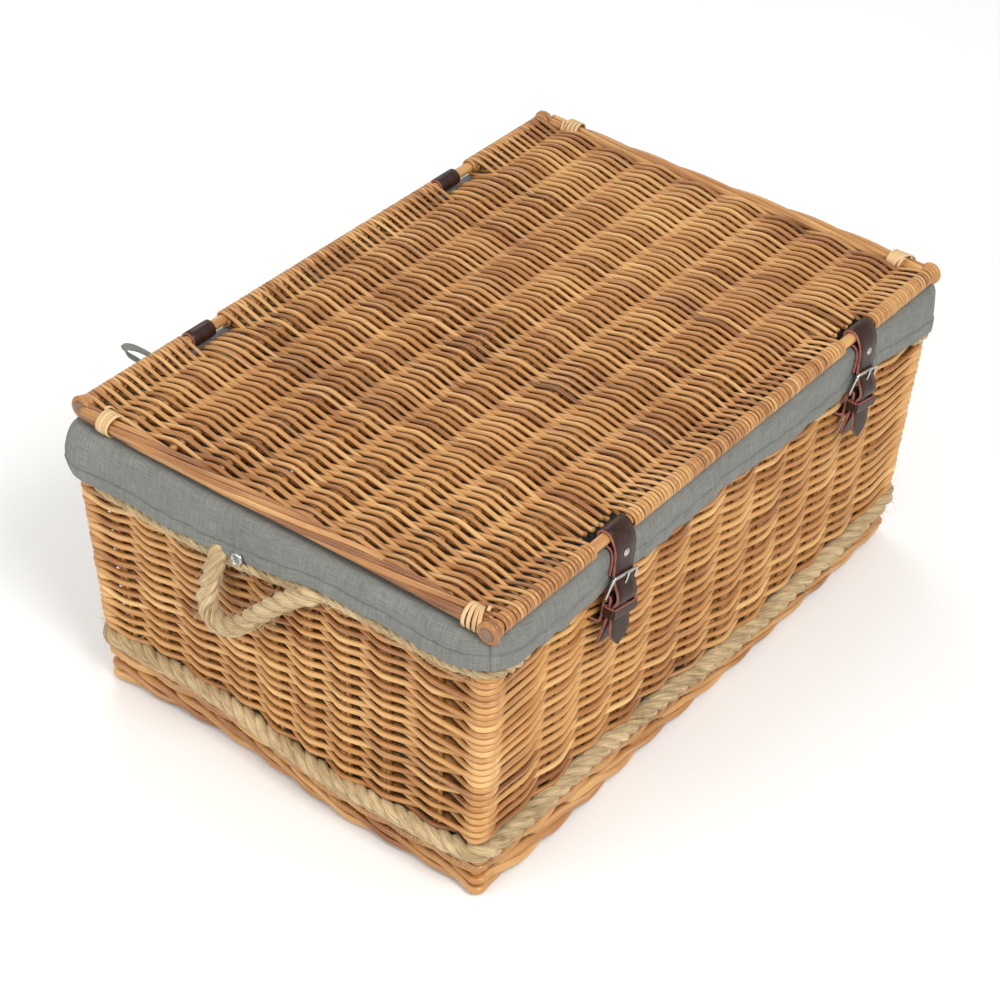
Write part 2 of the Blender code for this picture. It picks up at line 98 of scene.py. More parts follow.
def resample(points, step, closed=False):
    """Evenly spaced points along a smooth curve through the given ones, and the curve's length."""
    p = np.asarray(points, float)
    if closed:
        p = np.vstack([p[-2:], p, p[:3]])
    else:
        p = np.vstack([2 * p[0] - p[1], p, 2 * p[-1] - p[-2]])
    fine = []
    t = np.linspace(0, 1, 12, endpoint=False)[:, None]
    last = len(p) - 2 - (1 if closed else 0)
    for i in range(2 if closed else 1, last):
        a, b, c, d = p[i - 1], p[i], p[i + 1], p[i + 2]
        fine.append(0.5 * (2 * b + (c - a) * t + (2 * a - 5 * b + 4 * c - d) * t ** 2
                           + (3 * b - a - 3 * c + d) * t ** 3))
    fine = np.vstack(fine + ([fine[0][:1]] if closed else [p[-2:-1]]))
    length = run_along(fine)
    count = max(3, int(round(length[-1] / step)))
    at = np.linspace(0, length[-1], count + 1)
    if closed:
        at = at[:-1]
    return np.column_stack([np.interp(at, length, fine[:, k]) for k in range(3)]), length[-1]

def weave_wave(t, sharpness=0.95):
    """From +1 at even values of t to -1 at odd ones, straighter than a sine in between."""
    return np.arcsin(sharpness * np.cos(math.pi * t)) / math.asin(sharpness)


def smooth_noise(values, seed, octaves=2):
    """Seeded one-dimensional noise of about unit height: a few sines with random phases."""
    rng = random.Random(seed)
    total = np.zeros_like(np.asarray(values, float))
    for k in range(octaves * 2):
        total += np.sin(values * (0.7 + 0.9 * k + rng.random()) * math.tau + rng.random() * math.tau) / (1 + 0.6 * k)
    return total / octaves


def half_at(z, half):
    """Half the weave's length or width at a height, given that at the rim: it narrows towards the foot."""
    closing = END_TAPER if half == HALF_LENGTH else SIDE_TAPER
    return half - closing * np.maximum(0.0, RIM_Z - z) / RIM_Z


# (distance along a side, how far it bows out at the foot there)
END_BOW = ((-0.21, 0.0045), (-0.17, 0.0030), (-0.13, 0.0037), (-0.10, 0.0048), (-0.06, 0.0056), (-0.03, 0.0030),
           (0.0, -0.0005), (0.044, -0.0048), (0.085, -0.0066), (0.12, -0.0052), (0.16, -0.0034), (0.21, -0.0005))
FRONT_BOW = ((-0.31, -0.0045), (-0.285, -0.0040), (-0.262, -0.0012), (-0.24, 0.0006), (-0.12, 0.0), (-0.08, -0.0015),
             (0.06, 0.0010), (0.22, 0.0), (0.27, -0.0014), (0.31, -0.0042))


def hand_made(points):
    """The foot of a hand-woven wall isn't straight: each side bows a little, less and less up to 0.2 m."""
    x, y, z = np.asarray(points).T
    fade = np.clip(1 - z / 0.2, 0, 1)
    end = np.interp(np.where(x < 0, y, -y), *zip(*END_BOW))
    side = np.interp(np.where(y < 0, x, -x), *zip(*FRONT_BOW))
    return xyz(x * (1 + end * fade / HALF_LENGTH), y * (1 + side * fade / HALF_WIDTH), z)


# ---------------------------------------------------------------- pieces

class Tubes:
    """Gathers bent rods into one mesh, each with its own tone and a grain that runs along it."""

    def __init__(self):
        self.verts, self.faces, self.grain, self.tone, self.count = [], [], [], [], 0

    def add(self, points, radius, tone, side=(0, 0, 1), flat=1.0, closed=False, sides=8, end_bulge=0.4):
        """radius and flat may vary along the rod. side is across it; flat squashes it the other way."""
        points = np.asarray(points, float)
        n = len(points)
        radius = np.broadcast_to(np.asarray(radius, float), (n,))
        flat = np.broadcast_to(np.asarray(flat, float), (n,))
        tangent, across, out = axes_along(points, side, closed)
        turn = np.arange(sides) / sides * math.tau
        c, s = np.cos(turn)[None, :, None], np.sin(turn)[None, :, None]
        r = radius[:, None, None]
        ring = points[:, None] + across[:, None] * r * c + out[:, None] * r * flat[:, None, None] * s
        run = run_along(points)
        tone = np.broadcast_to(np.asarray(tone, float), (n,))
        shift = tone.mean() * 7.31
        grain = np.empty((n, sides, 3))
        grain[..., 0] = (run + shift)[:, None]
        grain[..., 1] = radius.mean() * c[0, :, 0]
        grain[..., 2] = radius.mean() * s[0, :, 0]
        base = self.count
        self.verts.append(ring.reshape(-1, 3))
        self.grain.append(grain.reshape(-1, 3))
        steps = n if closed else n - 1
        i = np.arange(steps)[:, None]
        j = np.arange(sides)[None]
        k, l = (i + 1) % n, (j + 1) % sides
        quads = np.stack([i * sides + j, i * sides + l, k * sides + l, k * sides + j], -1).reshape(-1, 4) + base
        self.faces.append(quads)
        total = n * sides
        self.tone.append(np.repeat(tone, sides))
        if not closed:
            ends = np.stack([points[0] - tangent[0] * radius[0] * end_bulge,
                             points[-1] + tangent[-1] * radius[-1] * end_bulge])
            self.verts.append(ends)
            self.grain.append(np.array([[shift, 0, 0], [shift + run[-1], 0, 0]]))
            j = np.arange(sides)
            first, last = base + total, base + total + 1
            low = np.stack([np.full(sides, first), base + (j + 1) % sides, base + j], -1)
            top = base + (n - 1) * sides
            high = np.stack([np.full(sides, last), top + j, top + (j + 1) % sides], -1)
            self.faces += [low, high]
            total += 2
            self.tone.append(tone[[0, -1]])
        self.count += total

    def build(self, name, material, body, replaces=(), slot=None):
        mesh = bpy.data.meshes.new(name)
        verts = np.concatenate(self.verts)
        sizes = np.concatenate([np.full(len(f), f.shape[1]) for f in self.faces])
        loops = np.concatenate([f.reshape(-1) for f in self.faces])
        mesh.vertices.add(len(verts))
        mesh.vertices.foreach_set("co", verts.astype(np.float32).ravel())
        mesh.loops.add(len(loops))
        mesh.loops.foreach_set("vertex_index", loops.astype(np.int32))
        mesh.polygons.add(len(sizes))
        mesh.polygons.foreach_set("loop_start", np.concatenate([[0], np.cumsum(sizes)[:-1]]).astype(np.int32))
        mesh.polygons.foreach_set("use_smooth", np.ones(len(sizes), bool))
        mesh.update(calc_edges=True)
        keep_vectors(mesh, "grain", np.concatenate(self.grain))
        mesh.attributes.new("tone", "FLOAT", "POINT").data.foreach_set(
            "value", np.concatenate(self.tone).astype(np.float32))
        mesh.validate()
        return place(bpy.data.objects.new(name, mesh), material, body, replaces)


def keep_vectors(mesh, name, values):
    """Stores a vector at each of a mesh's points, for its material to read."""
    mesh.attributes.new(name, "FLOAT_VECTOR", "POINT").data.foreach_set("vector", values.astype(np.float32).ravel())


def place(obj, material, body, replaces=()):
    """Puts a piece in the scene with its materials. It rides on its body and stands for the nodes it replaces."""
    bpy.context.scene.collection.objects.link(obj)
    for m in material if isinstance(material, (list, tuple)) else [material]:
        obj.data.materials.append(m)
    if body:
        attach(obj, body)
    if replaces:
        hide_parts(*replaces)
    return obj


# ---------------------------------------------------------------- materials

class Nodes:
    """Short spelling for the nodes of one material."""

    def __init__(self, name):
        self.material = bpy.data.materials.new(name)
        self.material.use_nodes = True
        self.tree = self.material.node_tree
        self.shader = self.tree.nodes["Principled BSDF"]

    def feed(self, socket, value):
        """Links another node's output to a socket, or sets the socket to a value."""
        if isinstance(value, bpy.types.NodeSocket):
            self.tree.links.new(value, socket)
        else:
            socket.default_value = (*value, 1) if socket.type == "RGBA" else value

    def node(self, kind, inputs=None, **settings):
        made = self.tree.nodes.new("ShaderNode" + kind)
        for key, value in settings.items():
            setattr(made, key, value)
        for key, value in (inputs or {}).items():
            self.feed(made.inputs[key], value)
        return made

    def attribute(self, name, vector=False):
        return self.node("Attribute", attribute_name=name).outputs["Vector" if vector else "Fac"]

    def spot(self):
        """Where a point lies in its own piece."""
        return self.node("TexCoord").outputs["Object"]

    def noise(self, vector, scale, detail=3.0, rough=0.5):
        return self.node("TexNoise", {"Vector": vector, "Scale": scale, "Detail": detail,
                                      "Roughness": rough}).outputs[0]

    def streaks(self, vector, scale, detail, rough):
        """Noise stretched along the axes with a small scale."""
        return self.noise(self.node("Mapping", {"Vector": vector, "Scale": scale}).outputs[0], 1.0, detail, rough)

    def ramp(self, value, stops):
        made = self.node("ValToRGB", {"Fac": value})
        elements = made.color_ramp.elements
        for k, (place_at, colour) in enumerate(stops):
            element = elements[k] if k < 2 else elements.new(place_at)
            element.position, element.color = place_at, (*colour, 1)
        return made.outputs[0]

    def span(self, value, low, high, to_low=0.0, to_high=1.0):
        return self.node("MapRange", {"Value": value, "From Min": low, "From Max": high, "To Min": to_low,
                                      "To Max": to_high}).outputs[0]

    def mix(self, factor, a, b, blend="MIX"):
        made = self.node("Mix", data_type="RGBA", blend_type=blend)
        for index, value in ((0, factor), (6, a), (7, b)):
            self.feed(made.inputs[index], value)
        return made.outputs[2]

    def maths(self, how, a, b=0.0):
        made = self.node("Math", operation=how)
        for socket, value in zip(made.inputs, (a, b)):
            self.feed(socket, value)
        return made.outputs[0]

    def bump(self, height, strength, distance):
        return self.node("Bump", {"Height": height, "Strength": strength, "Distance": distance}).outputs[0]

    def finish(self, **sockets):
        for key, value in sockets.items():
            self.feed(self.shader.inputs[key.replace("_", " ")], value)
        return self.material


def willow(name, stops):
    """Steamed, varnished willow: a tone for each rod, streaks along it, mottling and a few dark specks."""
    n = Nodes(name)
    grain, tone = n.attribute("grain", True), n.attribute("tone")
    wander = n.streaks(grain, (11, 90, 90), 3.0, 0.6)
    streak = n.streaks(grain, (26, 900, 900), 4.0, 0.62)
    patch = n.noise(n.spot(), 9.0, 2.0, 0.5)
    level = n.maths("ADD", tone, n.span(wander, 0.3, 0.7, -0.20, 0.20))
    level = n.maths("ADD", level, n.span(patch, 0.35, 0.65, -0.12, 0.12))
    colour = n.ramp(level, stops)
    colour = n.mix(n.span(streak, 0.35, 0.75, 0.0, 0.34), colour, (0.36, 0.15, 0.04))
    pale = n.streaks(grain, (7, 260, 260), 2.0, 0.5)
    colour = n.mix(n.span(pale, 0.56, 0.80, 0.0, 0.45), colour, (0.86, 0.58, 0.28))
    specks = n.streaks(grain, (160, 700, 700), 2.0, 0.5)
    colour = n.mix(n.span(specks, 0.69, 0.76, 0.0, 0.55), colour, (0.16, 0.06, 0.02))
    rough = n.span(streak, 0.3, 0.7, 0.34, 0.52)
    bump = n.bump(n.maths("ADD", streak, n.maths("MULTIPLY", specks, 0.5)), 0.35, 0.0003)
    return n.finish(Base_Color=colour, Roughness=rough, Normal=bump, Coat_Weight=0.25, Coat_Roughness=0.22,
                    Specular_IOR_Level=0.45)


LID_STOPS = ((0.0, (0.15, 0.050, 0.011)), (0.25, (0.28, 0.108, 0.026)), (0.55, (0.44, 0.205, 0.057)),
             (1.0, (0.66, 0.39, 0.135)))
SIDE_STOPS = ((0.0, (0.19, 0.063, 0.014)), (0.25, (0.37, 0.150, 0.036)), (0.55, (0.56, 0.285, 0.083)),
              (1.0, (0.77, 0.49, 0.190)))
SKEIN_STOPS = ((0.0, (0.36, 0.19, 0.07)), (0.25, (0.47, 0.27, 0.11)), (0.55, (0.58, 0.37, 0.17)),
               (1.0, (0.70, 0.50, 0.27)))
LID_WILLOW = willow("lid_willow", LID_STOPS)
SIDE_WILLOW = willow("side_willow", SIDE_STOPS)
SKEIN = willow("skein", SKEIN_STOPS)


def plain_willow():
    """Willow for the border under the lining, which carries no grain of its own."""
    n = Nodes("border_willow")
    bands = n.streaks(n.spot(), (14, 14, 260), 3.0, 0.6)
    colour = n.ramp(n.span(bands, 0.3, 0.7, 0.1, 0.8), SIDE_STOPS)
    return n.finish(Base_Color=colour, Roughness=0.5, Normal=n.bump(bands, 0.6, 0.0012))


def cut_end():
    """The sawn face of a rod: grey-brown, with faint rings."""
    n = Nodes("cut_end")
    fleck = n.noise(n.spot(), 900.0, 3.0, 0.6)
    colour = n.mix(n.span(fleck, 0.35, 0.65), (0.150, 0.092, 0.055), (0.270, 0.180, 0.115))
    return n.finish(Base_Color=colour, Roughness=0.8, Normal=n.bump(fleck, 0.4, 0.0002))


def jute(name, dark, pale):
    """Laid fibre: fine streaks along each strand."""
    n = Nodes(name)
    grain, tone = n.attribute("grain", True), n.attribute("tone")
    fibre = n.streaks(grain, (60, 1500, 1500), 4.0, 0.65)
    patch = n.noise(n.spot(), 30.0, 3.0, 0.6)
    tuft = n.streaks(grain, (25, 420, 420), 3.0, 0.6)
    level = n.maths("ADD", n.maths("MULTIPLY", tone, 0.25), n.span(patch, 0.3, 0.7, -0.05, 0.30))
    level = n.maths("ADD", level, n.span(tuft, 0.38, 0.62, -0.11, 0.11))
    level = n.maths("ADD", level, n.span(fibre, 0.32, 0.68, -0.12, 0.46))
    colour = n.ramp(level, ((0.0, dark), (0.5, tuple((a + b) / 2 for a, b in zip(dark, pale))), (1.0, pale)))
    return n.finish(Base_Color=colour, Roughness=0.9, Normal=n.bump(fibre, 0.9, 0.0007), Specular_IOR_Level=0.2,
                    Sheen_Weight=0.15, Sheen_Roughness=0.5)


def lining_cloth():
    """Grey-green cotton: a plain weave with thicker threads here and there."""
    n = Nodes("lining_cloth")
    thread = n.attribute("cloth", True)
    warp = n.streaks(thread, (1500, 60, 1), 2.0, 0.6)
    weft = n.streaks(thread, (60, 1500, 1), 2.0, 0.6)
    slub = n.streaks(thread, (380, 30, 1), 2.0, 0.5)
    cross = n.streaks(thread, (30, 380, 1), 2.0, 0.5)
    patch = n.noise(thread, 16.0, 3.0, 0.55)
    threads = n.maths("ADD", n.maths("MULTIPLY", warp, 0.5), n.maths("MULTIPLY", weft, 0.5))
    slubs = n.maths("ADD", n.maths("MULTIPLY", slub, 0.5), n.maths("MULTIPLY", cross, 0.5))
    level = n.maths("ADD", n.span(threads, 0.4, 0.6, -0.30, 0.30), n.span(slubs, 0.42, 0.58, -0.06, 0.06))
    level = n.maths("ADD", level, n.span(patch, 0.3, 0.7, 0.44, 0.58))
    colour = n.ramp(level, ((0.0, (0.105, 0.109, 0.096)), (0.5, (0.163, 0.167, 0.150)), (1.0, (0.235, 0.240, 0.218))))
    height = n.maths("ADD", threads, n.maths("MULTIPLY", slubs, 0.6))
    return n.finish(Base_Color=colour, Roughness=0.92, Normal=n.bump(height, 0.5, 0.0004), Specular_IOR_Level=0.2,
                    Sheen_Weight=0.10, Sheen_Roughness=0.6)


def leather(name, dark, pale, rough, coat, pores=1400.0):
    """Dark dyed leather, scuffed here and there; a cut edge is paler and has coarser pores."""
    n = Nodes(name)
    grain = n.attribute("grain", True)
    pore = n.noise(grain, pores, 4.0, 0.62)
    scuff = n.noise(grain, 90.0, 4.0, 0.6)
    crease = n.streaks(grain, (420, 60, 60), 3.0, 0.6)
    colour = n.mix(n.span(scuff, 0.35, 0.72), dark, pale)
    height = n.maths("ADD", pore, n.maths("MULTIPLY", crease, 0.7))
    return n.finish(Base_Color=colour, Roughness=n.span(scuff, 0.3, 0.7, rough - 0.06, rough + 0.10),
                    Normal=n.bump(height, 0.32, 0.0003), Coat_Weight=coat, Coat_Roughness=0.22,
                    Specular_IOR_Level=0.16)


def metal(name, colour, low, high):
    """Plated metal, smeared by handling: its roughness wanders between low and high."""
    n = Nodes(name)
    smear = n.noise(n.spot(), 420.0, 4.0, 0.6)
    tint = n.mix(n.span(smear, 0.3, 0.7), tuple(c * 0.86 for c in colour), colour)
    return n.finish(Base_Color=tint, Metallic=1.0, Roughness=n.span(smear, 0.3, 0.7, low, high),
                    Normal=n.bump(smear, 0.06, 0.0002))


BORDER_WILLOW = plain_willow()
CUT_END = cut_end()
JUTE = jute("jute", (0.21, 0.130, 0.050), (0.84, 0.65, 0.37))
HAIR = jute("jute_hair", (0.42, 0.30, 0.14), (0.80, 0.66, 0.42))
CLOTH = lining_cloth()
THREAD = jute("seam_thread", (0.085, 0.088, 0.078), (0.17, 0.175, 0.157))
LEATHER_FACE = leather("leather_face", (0.022, 0.0085, 0.0058), (0.050, 0.020, 0.013), 0.36, 0.14)
# The strap tip's leather: rougher with less coat, which is real, and paler in colour, which is a painted sheen for the
# light it catches where it tilts out
TAIL_PAINTED_SHEEN = leather("leather_tail_painted_sheen", (0.030, 0.018, 0.014), (0.062, 0.040, 0.031), 0.5, 0.10)
LEATHER_EDGE = leather("leather_edge", (0.24, 0.082, 0.066), (0.40, 0.155, 0.128), 0.62, 0.0, pores=700.0)
NICKEL = metal("nickel", (0.56, 0.54, 0.50), 0.18, 0.32)
STUD_METAL = metal("stud_metal", (0.24, 0.25, 0.25), 0.28, 0.42)


# ---------------------------------------------------------------- lid weave

STAKE_PITCH = 0.04585
STAKES = [(k - 3.5) * STAKE_PITCH for k in range(8)]
WEAVER_PITCH = 0.00412
WEAVE_HALF = 0.3005  # the weavers lie within this distance of the middle
ROD_ENDS = {(-1, -1): 0.3158, (1, -1): 0.3095, (-1, 1): 0.3066, (1, 1): 0.3045}  # the front rod is the longer one
SWING = 0.0052  # how far a weaver goes above and below the stakes' middle
NOTCH_REACH = 0.0345  # how far a weaver that is cut short at a leather goes past the last stake
WRAP_R, THINNED = 0.0064, 0.42  # a weaver winds round a rod this far from its axis, and this much flattened


def lid_drift(x, y):
    """The weavers wander sideways together, so neighbours keep their spacing."""
    return (0.0016 * np.sin(x * 23 + y * 11 + 0.4) + 0.0012 * np.sin(x * 41 - y * 17 + 2.0)
            + 0.0009 * np.sin(y * 37 + x * 7))


def in_notch(x, side):
    """Whether a weaver would meet a leather on the front (-1) or the back (+1) rod."""
    for middle in (STRAP_X if side < 0 else HINGE_X):
        left, right = (NOTCH_LONG, NOTCH_SHORT)[::-side]
        if middle - left - 0.001 < x < middle + right + 0.001:
            return True
    return False


def cut_short(lift, at_stake, dip, rng):
    """A weaver's end that stops before the rod: (y, z) points past the last stake, and how flat it is at each."""
    share = np.arange(1, 7) / 6
    y = STAKES[-1] + share * (NOTCH_REACH + rng.uniform(-0.0025, 0.0012))
    z = lift * (at_stake * np.cos(math.pi * 0.42 * share) - dip * share ** 3)
    return np.stack([y, z], 1), np.ones(len(share))


def wound_round_rod(lift, at_stake):
    """A weaver's end that goes once round the rod, hammered flat on its way there."""
    t = np.linspace(0, 1, 9)[1:]
    ease = t * t * (3 - 2 * t)
    y = STAKES[-1] + t * (ROD_Y - STAKES[-1])
    z = at_stake * (lift - (WRAP_R + lift) * ease)
    turn = np.radians(np.linspace(90, -190, 20))[1:]
    ring = np.stack([ROD_Y + WRAP_R * np.cos(turn), -at_stake * WRAP_R * np.sin(turn)], 1)
    flat = np.concatenate([1 - THINNED * ease, np.full(len(ring), 1 - THINNED)])
    return np.concatenate([np.stack([y, z], 1), ring]), flat


def lid_weaver(tubes, k, x, rng):
    """One rod across the lid, over and under its stakes, with its ends wound round the front and back rods."""
    sign = 1 if k % 2 else -1
    radius = 0.00204 + rng.uniform(-0.00016, 0.00026)
    lift = SWING * rng.uniform(0.93, 1.05)
    y = np.linspace(STAKES[0], STAKES[-1], 71)
    wave = weave_wave((y - STAKES[0]) / STAKE_PITCH, 0.955)
    runs, flats = [np.stack([y, sign * lift * wave], 1)], [np.ones_like(y)]
    for side in (-1, 1):
        at_stake = -side * sign
        if in_notch(x, side):
            part, flat = cut_short(lift, at_stake, 0.10 if side < 0 else 0.9, rng)
        else:
            part, flat = wound_round_rod(lift, at_stake)
        part = part * (side, 1)
        if side < 0:
            runs, flats = [part[::-1]] + runs, [flat[::-1]] + flats
        else:
            runs, flats = runs + [part], flats + [flat]
    y, z = np.concatenate(runs).T
    flat = np.concatenate(flats)
    wander = lid_drift(x, y) * min(1.0, (0.3025 - abs(x)) / 0.045) + 0.0003 * smooth_noise(y * 4, k)
    taper = (1 + 0.05 * smooth_noise(y * 1.3, k + 500)) * (1 - 0.10 * (1 - flat) / THINNED)
    tone = clamped(rng.gauss(0.56, 0.13) - (0.26 if rng.random() < 0.09 else 0))
    tubes.add(xyz(x + wander, y, ROD_Z + z), radius * taper, tone, side=(1, 0, 0), flat=flat)


def lid_weave():
    rng = random.Random(11)
    count = int(2 * WEAVE_HALF / WEAVER_PITCH)
    thirds = (Tubes(), Tubes(), Tubes())
    for k in range(count):
        x = -WEAVE_HALF + WEAVER_PITCH * (k + 0.5) + rng.uniform(-0.00018, 0.00018)
        lid_weaver(thirds[min(2, k * 3 // count)], k, x, rng)
    for tubes, name in zip(thirds, ("left", "middle", "right")):
        tubes.build("lid_weave_" + name, LID_WILLOW, "lid", ["lid_panel"] if name == "middle" else (), "willow")
    stakes = Tubes()
    for k, y in enumerate(STAKES):
        x = np.linspace(-0.2985, 0.2985, 30)
        wander = 0.0008 * smooth_noise(x * 2, k + 40)
        stakes.add(xyz(x, y + wander, ROD_Z), 0.0031, rng.uniform(0.35, 0.6), side=(0, 1, 0))
    for end in (-1, 1):
        x = np.linspace(0.0006 - ROD_ENDS[-1, end], ROD_ENDS[1, end] - 0.0006, 40)
        stakes.add(xyz(x, end * ROD_Y, ROD_Z), ROD_R, 0.62, side=(0, 1, 0), sides=16, end_bulge=0.0)
    stakes.build("lid_stakes", LID_WILLOW, "lid", ["lid_rod_front", "lid_rod_back"], "willow")


# ---------------------------------------------------------------- lid edges

def end_borders():
    """A thick bundle of rods along each end of the lid, gently twisted, bound near its corners with pale skein."""
    rng = random.Random(5)
    borders = Tubes()
    for side in (-1, 1):
        y = np.linspace(-0.2015, 0.2015, 130)
        bow = 0.0030 * np.exp(-((y + 0.09) / 0.08) ** 2) if side > 0 else 0.0012 * np.sin(y * 14)
        x = side * (0.3046 + bow)
        for k in range(6):
            turn = (y / 0.34 + k / 6 + 0.10 * np.sin(y * 19 + k)) * math.tau * -side
            spread = 0.0053 + 0.0006 * smooth_noise(y * 3, k + side * 7)
            points = xyz(x + spread * 0.90 * np.cos(turn), y, ROD_Z - 0.0002 + spread * 0.72 * np.sin(turn))
            radius = 0.0028 * (1 + 0.14 * smooth_noise(y * 2.2, k + 30 + side))
            borders.add(points, radius, clamped(rng.gauss(0.50, 0.16)), side=(1, 0, 0), sides=10)
    borders.build("lid_end_borders", LID_WILLOW, "lid", ["lid_end_left", "lid_end_right"], "willow")


def corner_bindings():
    """Split skein wound four times round each end of a border, fanning out towards the corner."""
    rng = random.Random(8)
    skein = Tubes()
    turns, pitch = 4, 0.0037
    for side in (-1, 1):
        for end, fan, near in ((-1, 0.40, 0.1838 if side < 0 else 0.1710), (1, -0.12, 0.1690)):
            for k in range(turns):
                turn = np.linspace(-2.2, math.tau - 2.2, 40)
                dx, dz = 0.0098 * np.cos(turn), 0.0086 * np.sin(turn)
                lean = (0.10 + fan * k / (turns - 1)) * -end
                y = end * (near + pitch * k) + rng.uniform(-0.0002, 0.0002) - side * lean * dx
                skein.add(xyz(side * 0.3044 + dx, y, ROD_Z + dz), 0.00175, rng.uniform(0.55, 0.85), side=(0, 1, 0),
                          flat=0.50, sides=10)
            t = np.linspace(0, 1, 14)  # its end, tucked in under the last turn
            points = xyz(side * (0.3010 - 0.0085 * t), end * (near + 0.0140 - 0.0025 * t),
                         ROD_Z + 0.0082 + 0.0010 * np.sin(t * math.pi) - 0.0050 * t ** 3)
            skein.add(points, 0.0016, 0.7, side=(0, 1, 0), flat=0.55)
    skein.build("lid_bindings", SKEIN, "lid",
                [f"lid_binding_{e}_{s}" for e in ("front", "back") for s in ("left", "right")], "skein")


# how far in from a rod's end each curl lies, how wide it is, how thick, and how flat
ROD_CURLS = ((0.0102, 0.0066, 0.0021, 0.6), (0.0068, 0.0069, 0.0023, 0.75), (0.0032, 0.0073, 0.0027, 0.95))
SAWN_FACE = [(0, 0.0), (0.0034, 0.0001), (0.0052, -0.0002), (0.0056, -0.0009), (0.0056, -0.006), (0, -0.006)]


def rod_ends():
    """Where each lid rod comes out: the last turns of the border round it, and its sawn face."""
    rng = random.Random(12)
    curls = Tubes()
    for side, end in CORNERS:
        for inward, ring, thick, flat in ROD_CURLS:
            turn = np.linspace(0, math.tau, 37)[:-1]
            wobble = 0.0005 * np.sin(turn + rng.uniform(0, 6))
            points = xyz(side * (ROD_ENDS[side, end] - inward + wobble), end * ROD_Y + ring * np.cos(turn),
                         ROD_Z + ring * np.sin(turn))
            curls.add(points, thick, rng.uniform(0.25, 0.6), side=(1, 0, 0), flat=flat, closed=True, sides=10)
    curls.build("lid_rod_curls", LID_WILLOW, "lid", (), "willow")
    for side, end in CORNERS:
        turned(f"rod_face_{'front' if end < 0 else 'back'}_{'left' if side < 0 else 'right'}", SAWN_FACE,
               (side * ROD_ENDS[side, end], end * ROD_Y, ROD_Z), (side, 0.02, 0.03), CUT_END, "lid", (),
               segments=28)


# ---------------------------------------------------------------- woven walls and foot

FRONT_STAKES = [(k - 5.5) * 0.047 for k in range(12)]
END_STAKES = (-0.157, -0.107, -0.066, -0.028, 0.011, 0.048, 0.094, 0.138, 0.178)
CORE = 0.0080  # from the weave's outer face in to the middle of its stakes
SIDE_SWING = 0.0052
SIDES = (  # direction of travel, outward normal, stakes in the order they're met
    ((1, 0), (0, -1), FRONT_STAKES), ((0, 1), (1, 0), END_STAKES),
    ((-1, 0), (0, 1), FRONT_STAKES), ((0, -1), (-1, 0), [-y for y in END_STAKES[::-1]]),
)


def outline(z, inset, radius, step):
    """Points round the basket at a height: place, outward normal, side number, distance along that side."""
    half_x, half_y = half_at(z, HALF_LENGTH) - inset, half_at(z, HALF_WIDTH) - inset
    places, normals, sides, along = [], [], [], []
    for k, (way, out, _) in enumerate(SIDES):
        way, out = np.array(way, float), np.array(out, float)
        reach = (half_x if way[0] else half_y) - radius
        far = half_y if way[0] else half_x
        count = max(2, int(2 * reach / step))
        t = np.linspace(-reach, reach, count)
        places.append(way * t[:, None] + out * far)
        normals.append(np.broadcast_to(out, (count, 2)))
        sides.append(np.full(count, k))
        along.append(t)
        turn = np.linspace(0, math.pi / 2, 7)[1:-1]
        normal = out * np.cos(turn)[:, None] + way * np.sin(turn)[:, None]
        places.append(way * reach + out * (far - radius) + normal * radius)
        normals.append(normal)
        sides.append(np.full(len(turn), k + 4))
        along.append(turn)
    return [np.concatenate(a) for a in (places, normals, sides, along)]


def in_and_out(sides, along, reach, row):
    """+1 outside a stake and -1 inside it, turn about along a row. At a corner one row in four stays inside."""
    value = np.ones(len(along))
    for k, (_, _, stakes) in enumerate(SIDES):
        knots = np.array([-reach[k]] + list(stakes) + [reach[k]])
        ends = [-1.4 if inside_at(row, corner) else 1.0 for corner in (k - 1, k)]
        signs = np.array(ends[:1] + [1.0 if (j + row + k) % 2 else -1.0 for j in range(len(stakes))] + ends[1:])
        value[sides == k + 4] = ends[1]
        here = sides == k
        t = along[here]
        i = np.clip(np.searchsorted(knots, t, side="right") - 1, 0, len(knots) - 2)
        f = (t - knots[i]) / (knots[i + 1] - knots[i])
        a, b = signs[i], signs[i + 1]
        value[here] = (a + b) / 2 + (a - b) / 2 * weave_wave(f)
    return value


def inside_at(row, corner):
    """Whether a row goes behind the post at the corner where a side ends."""
    return (row + corner) % 4 == 3


def rod_tones(count, rng, middle, spread):
    """A tone for each point of a long row that is made of several rods, end to end."""
    tones = np.empty(count)
    start = 0
    while start < count:
        length = int(count * rng.uniform(0.12, 0.4))
        tones[start:start + length] = clamped(rng.gauss(middle, spread))
        start += length
    kernel = np.ones(5) / 5
    return np.convolve(np.concatenate([tones[-2:], tones, tones[:2]]), kernel, "valid")


ROWS = 41
WEAVE_TOP, STAKE_TOP = 0.2560, 0.2575
# the height of the low rope's middle along each side, going round from the front left corner
LOW_ROPE = (
    ((-0.31, 0.0490), (-0.26, 0.0535), (-0.17, 0.0560), (-0.14, 0.0535), (-0.10, 0.0505), (-0.06, 0.0478),
     (-0.028, 0.0440), (0.01, 0.0395), (0.06, 0.0375), (0.12, 0.0388), (0.245, 0.0395), (0.28, 0.0440), (0.31, 0.0475)),
    ((-0.21, 0.0475), (0.0, 0.0430), (0.21, 0.0420)),
    ((-0.31, 0.0410), (0.0, 0.0440), (0.20, 0.0480), (0.31, 0.0525)),
    ((-0.21, 0.0525), (-0.114, 0.0500), (-0.037, 0.0446), (0.037, 0.0405), (0.09, 0.0420), (0.142, 0.0430),
     (0.167, 0.0450), (0.21, 0.0485)),
)
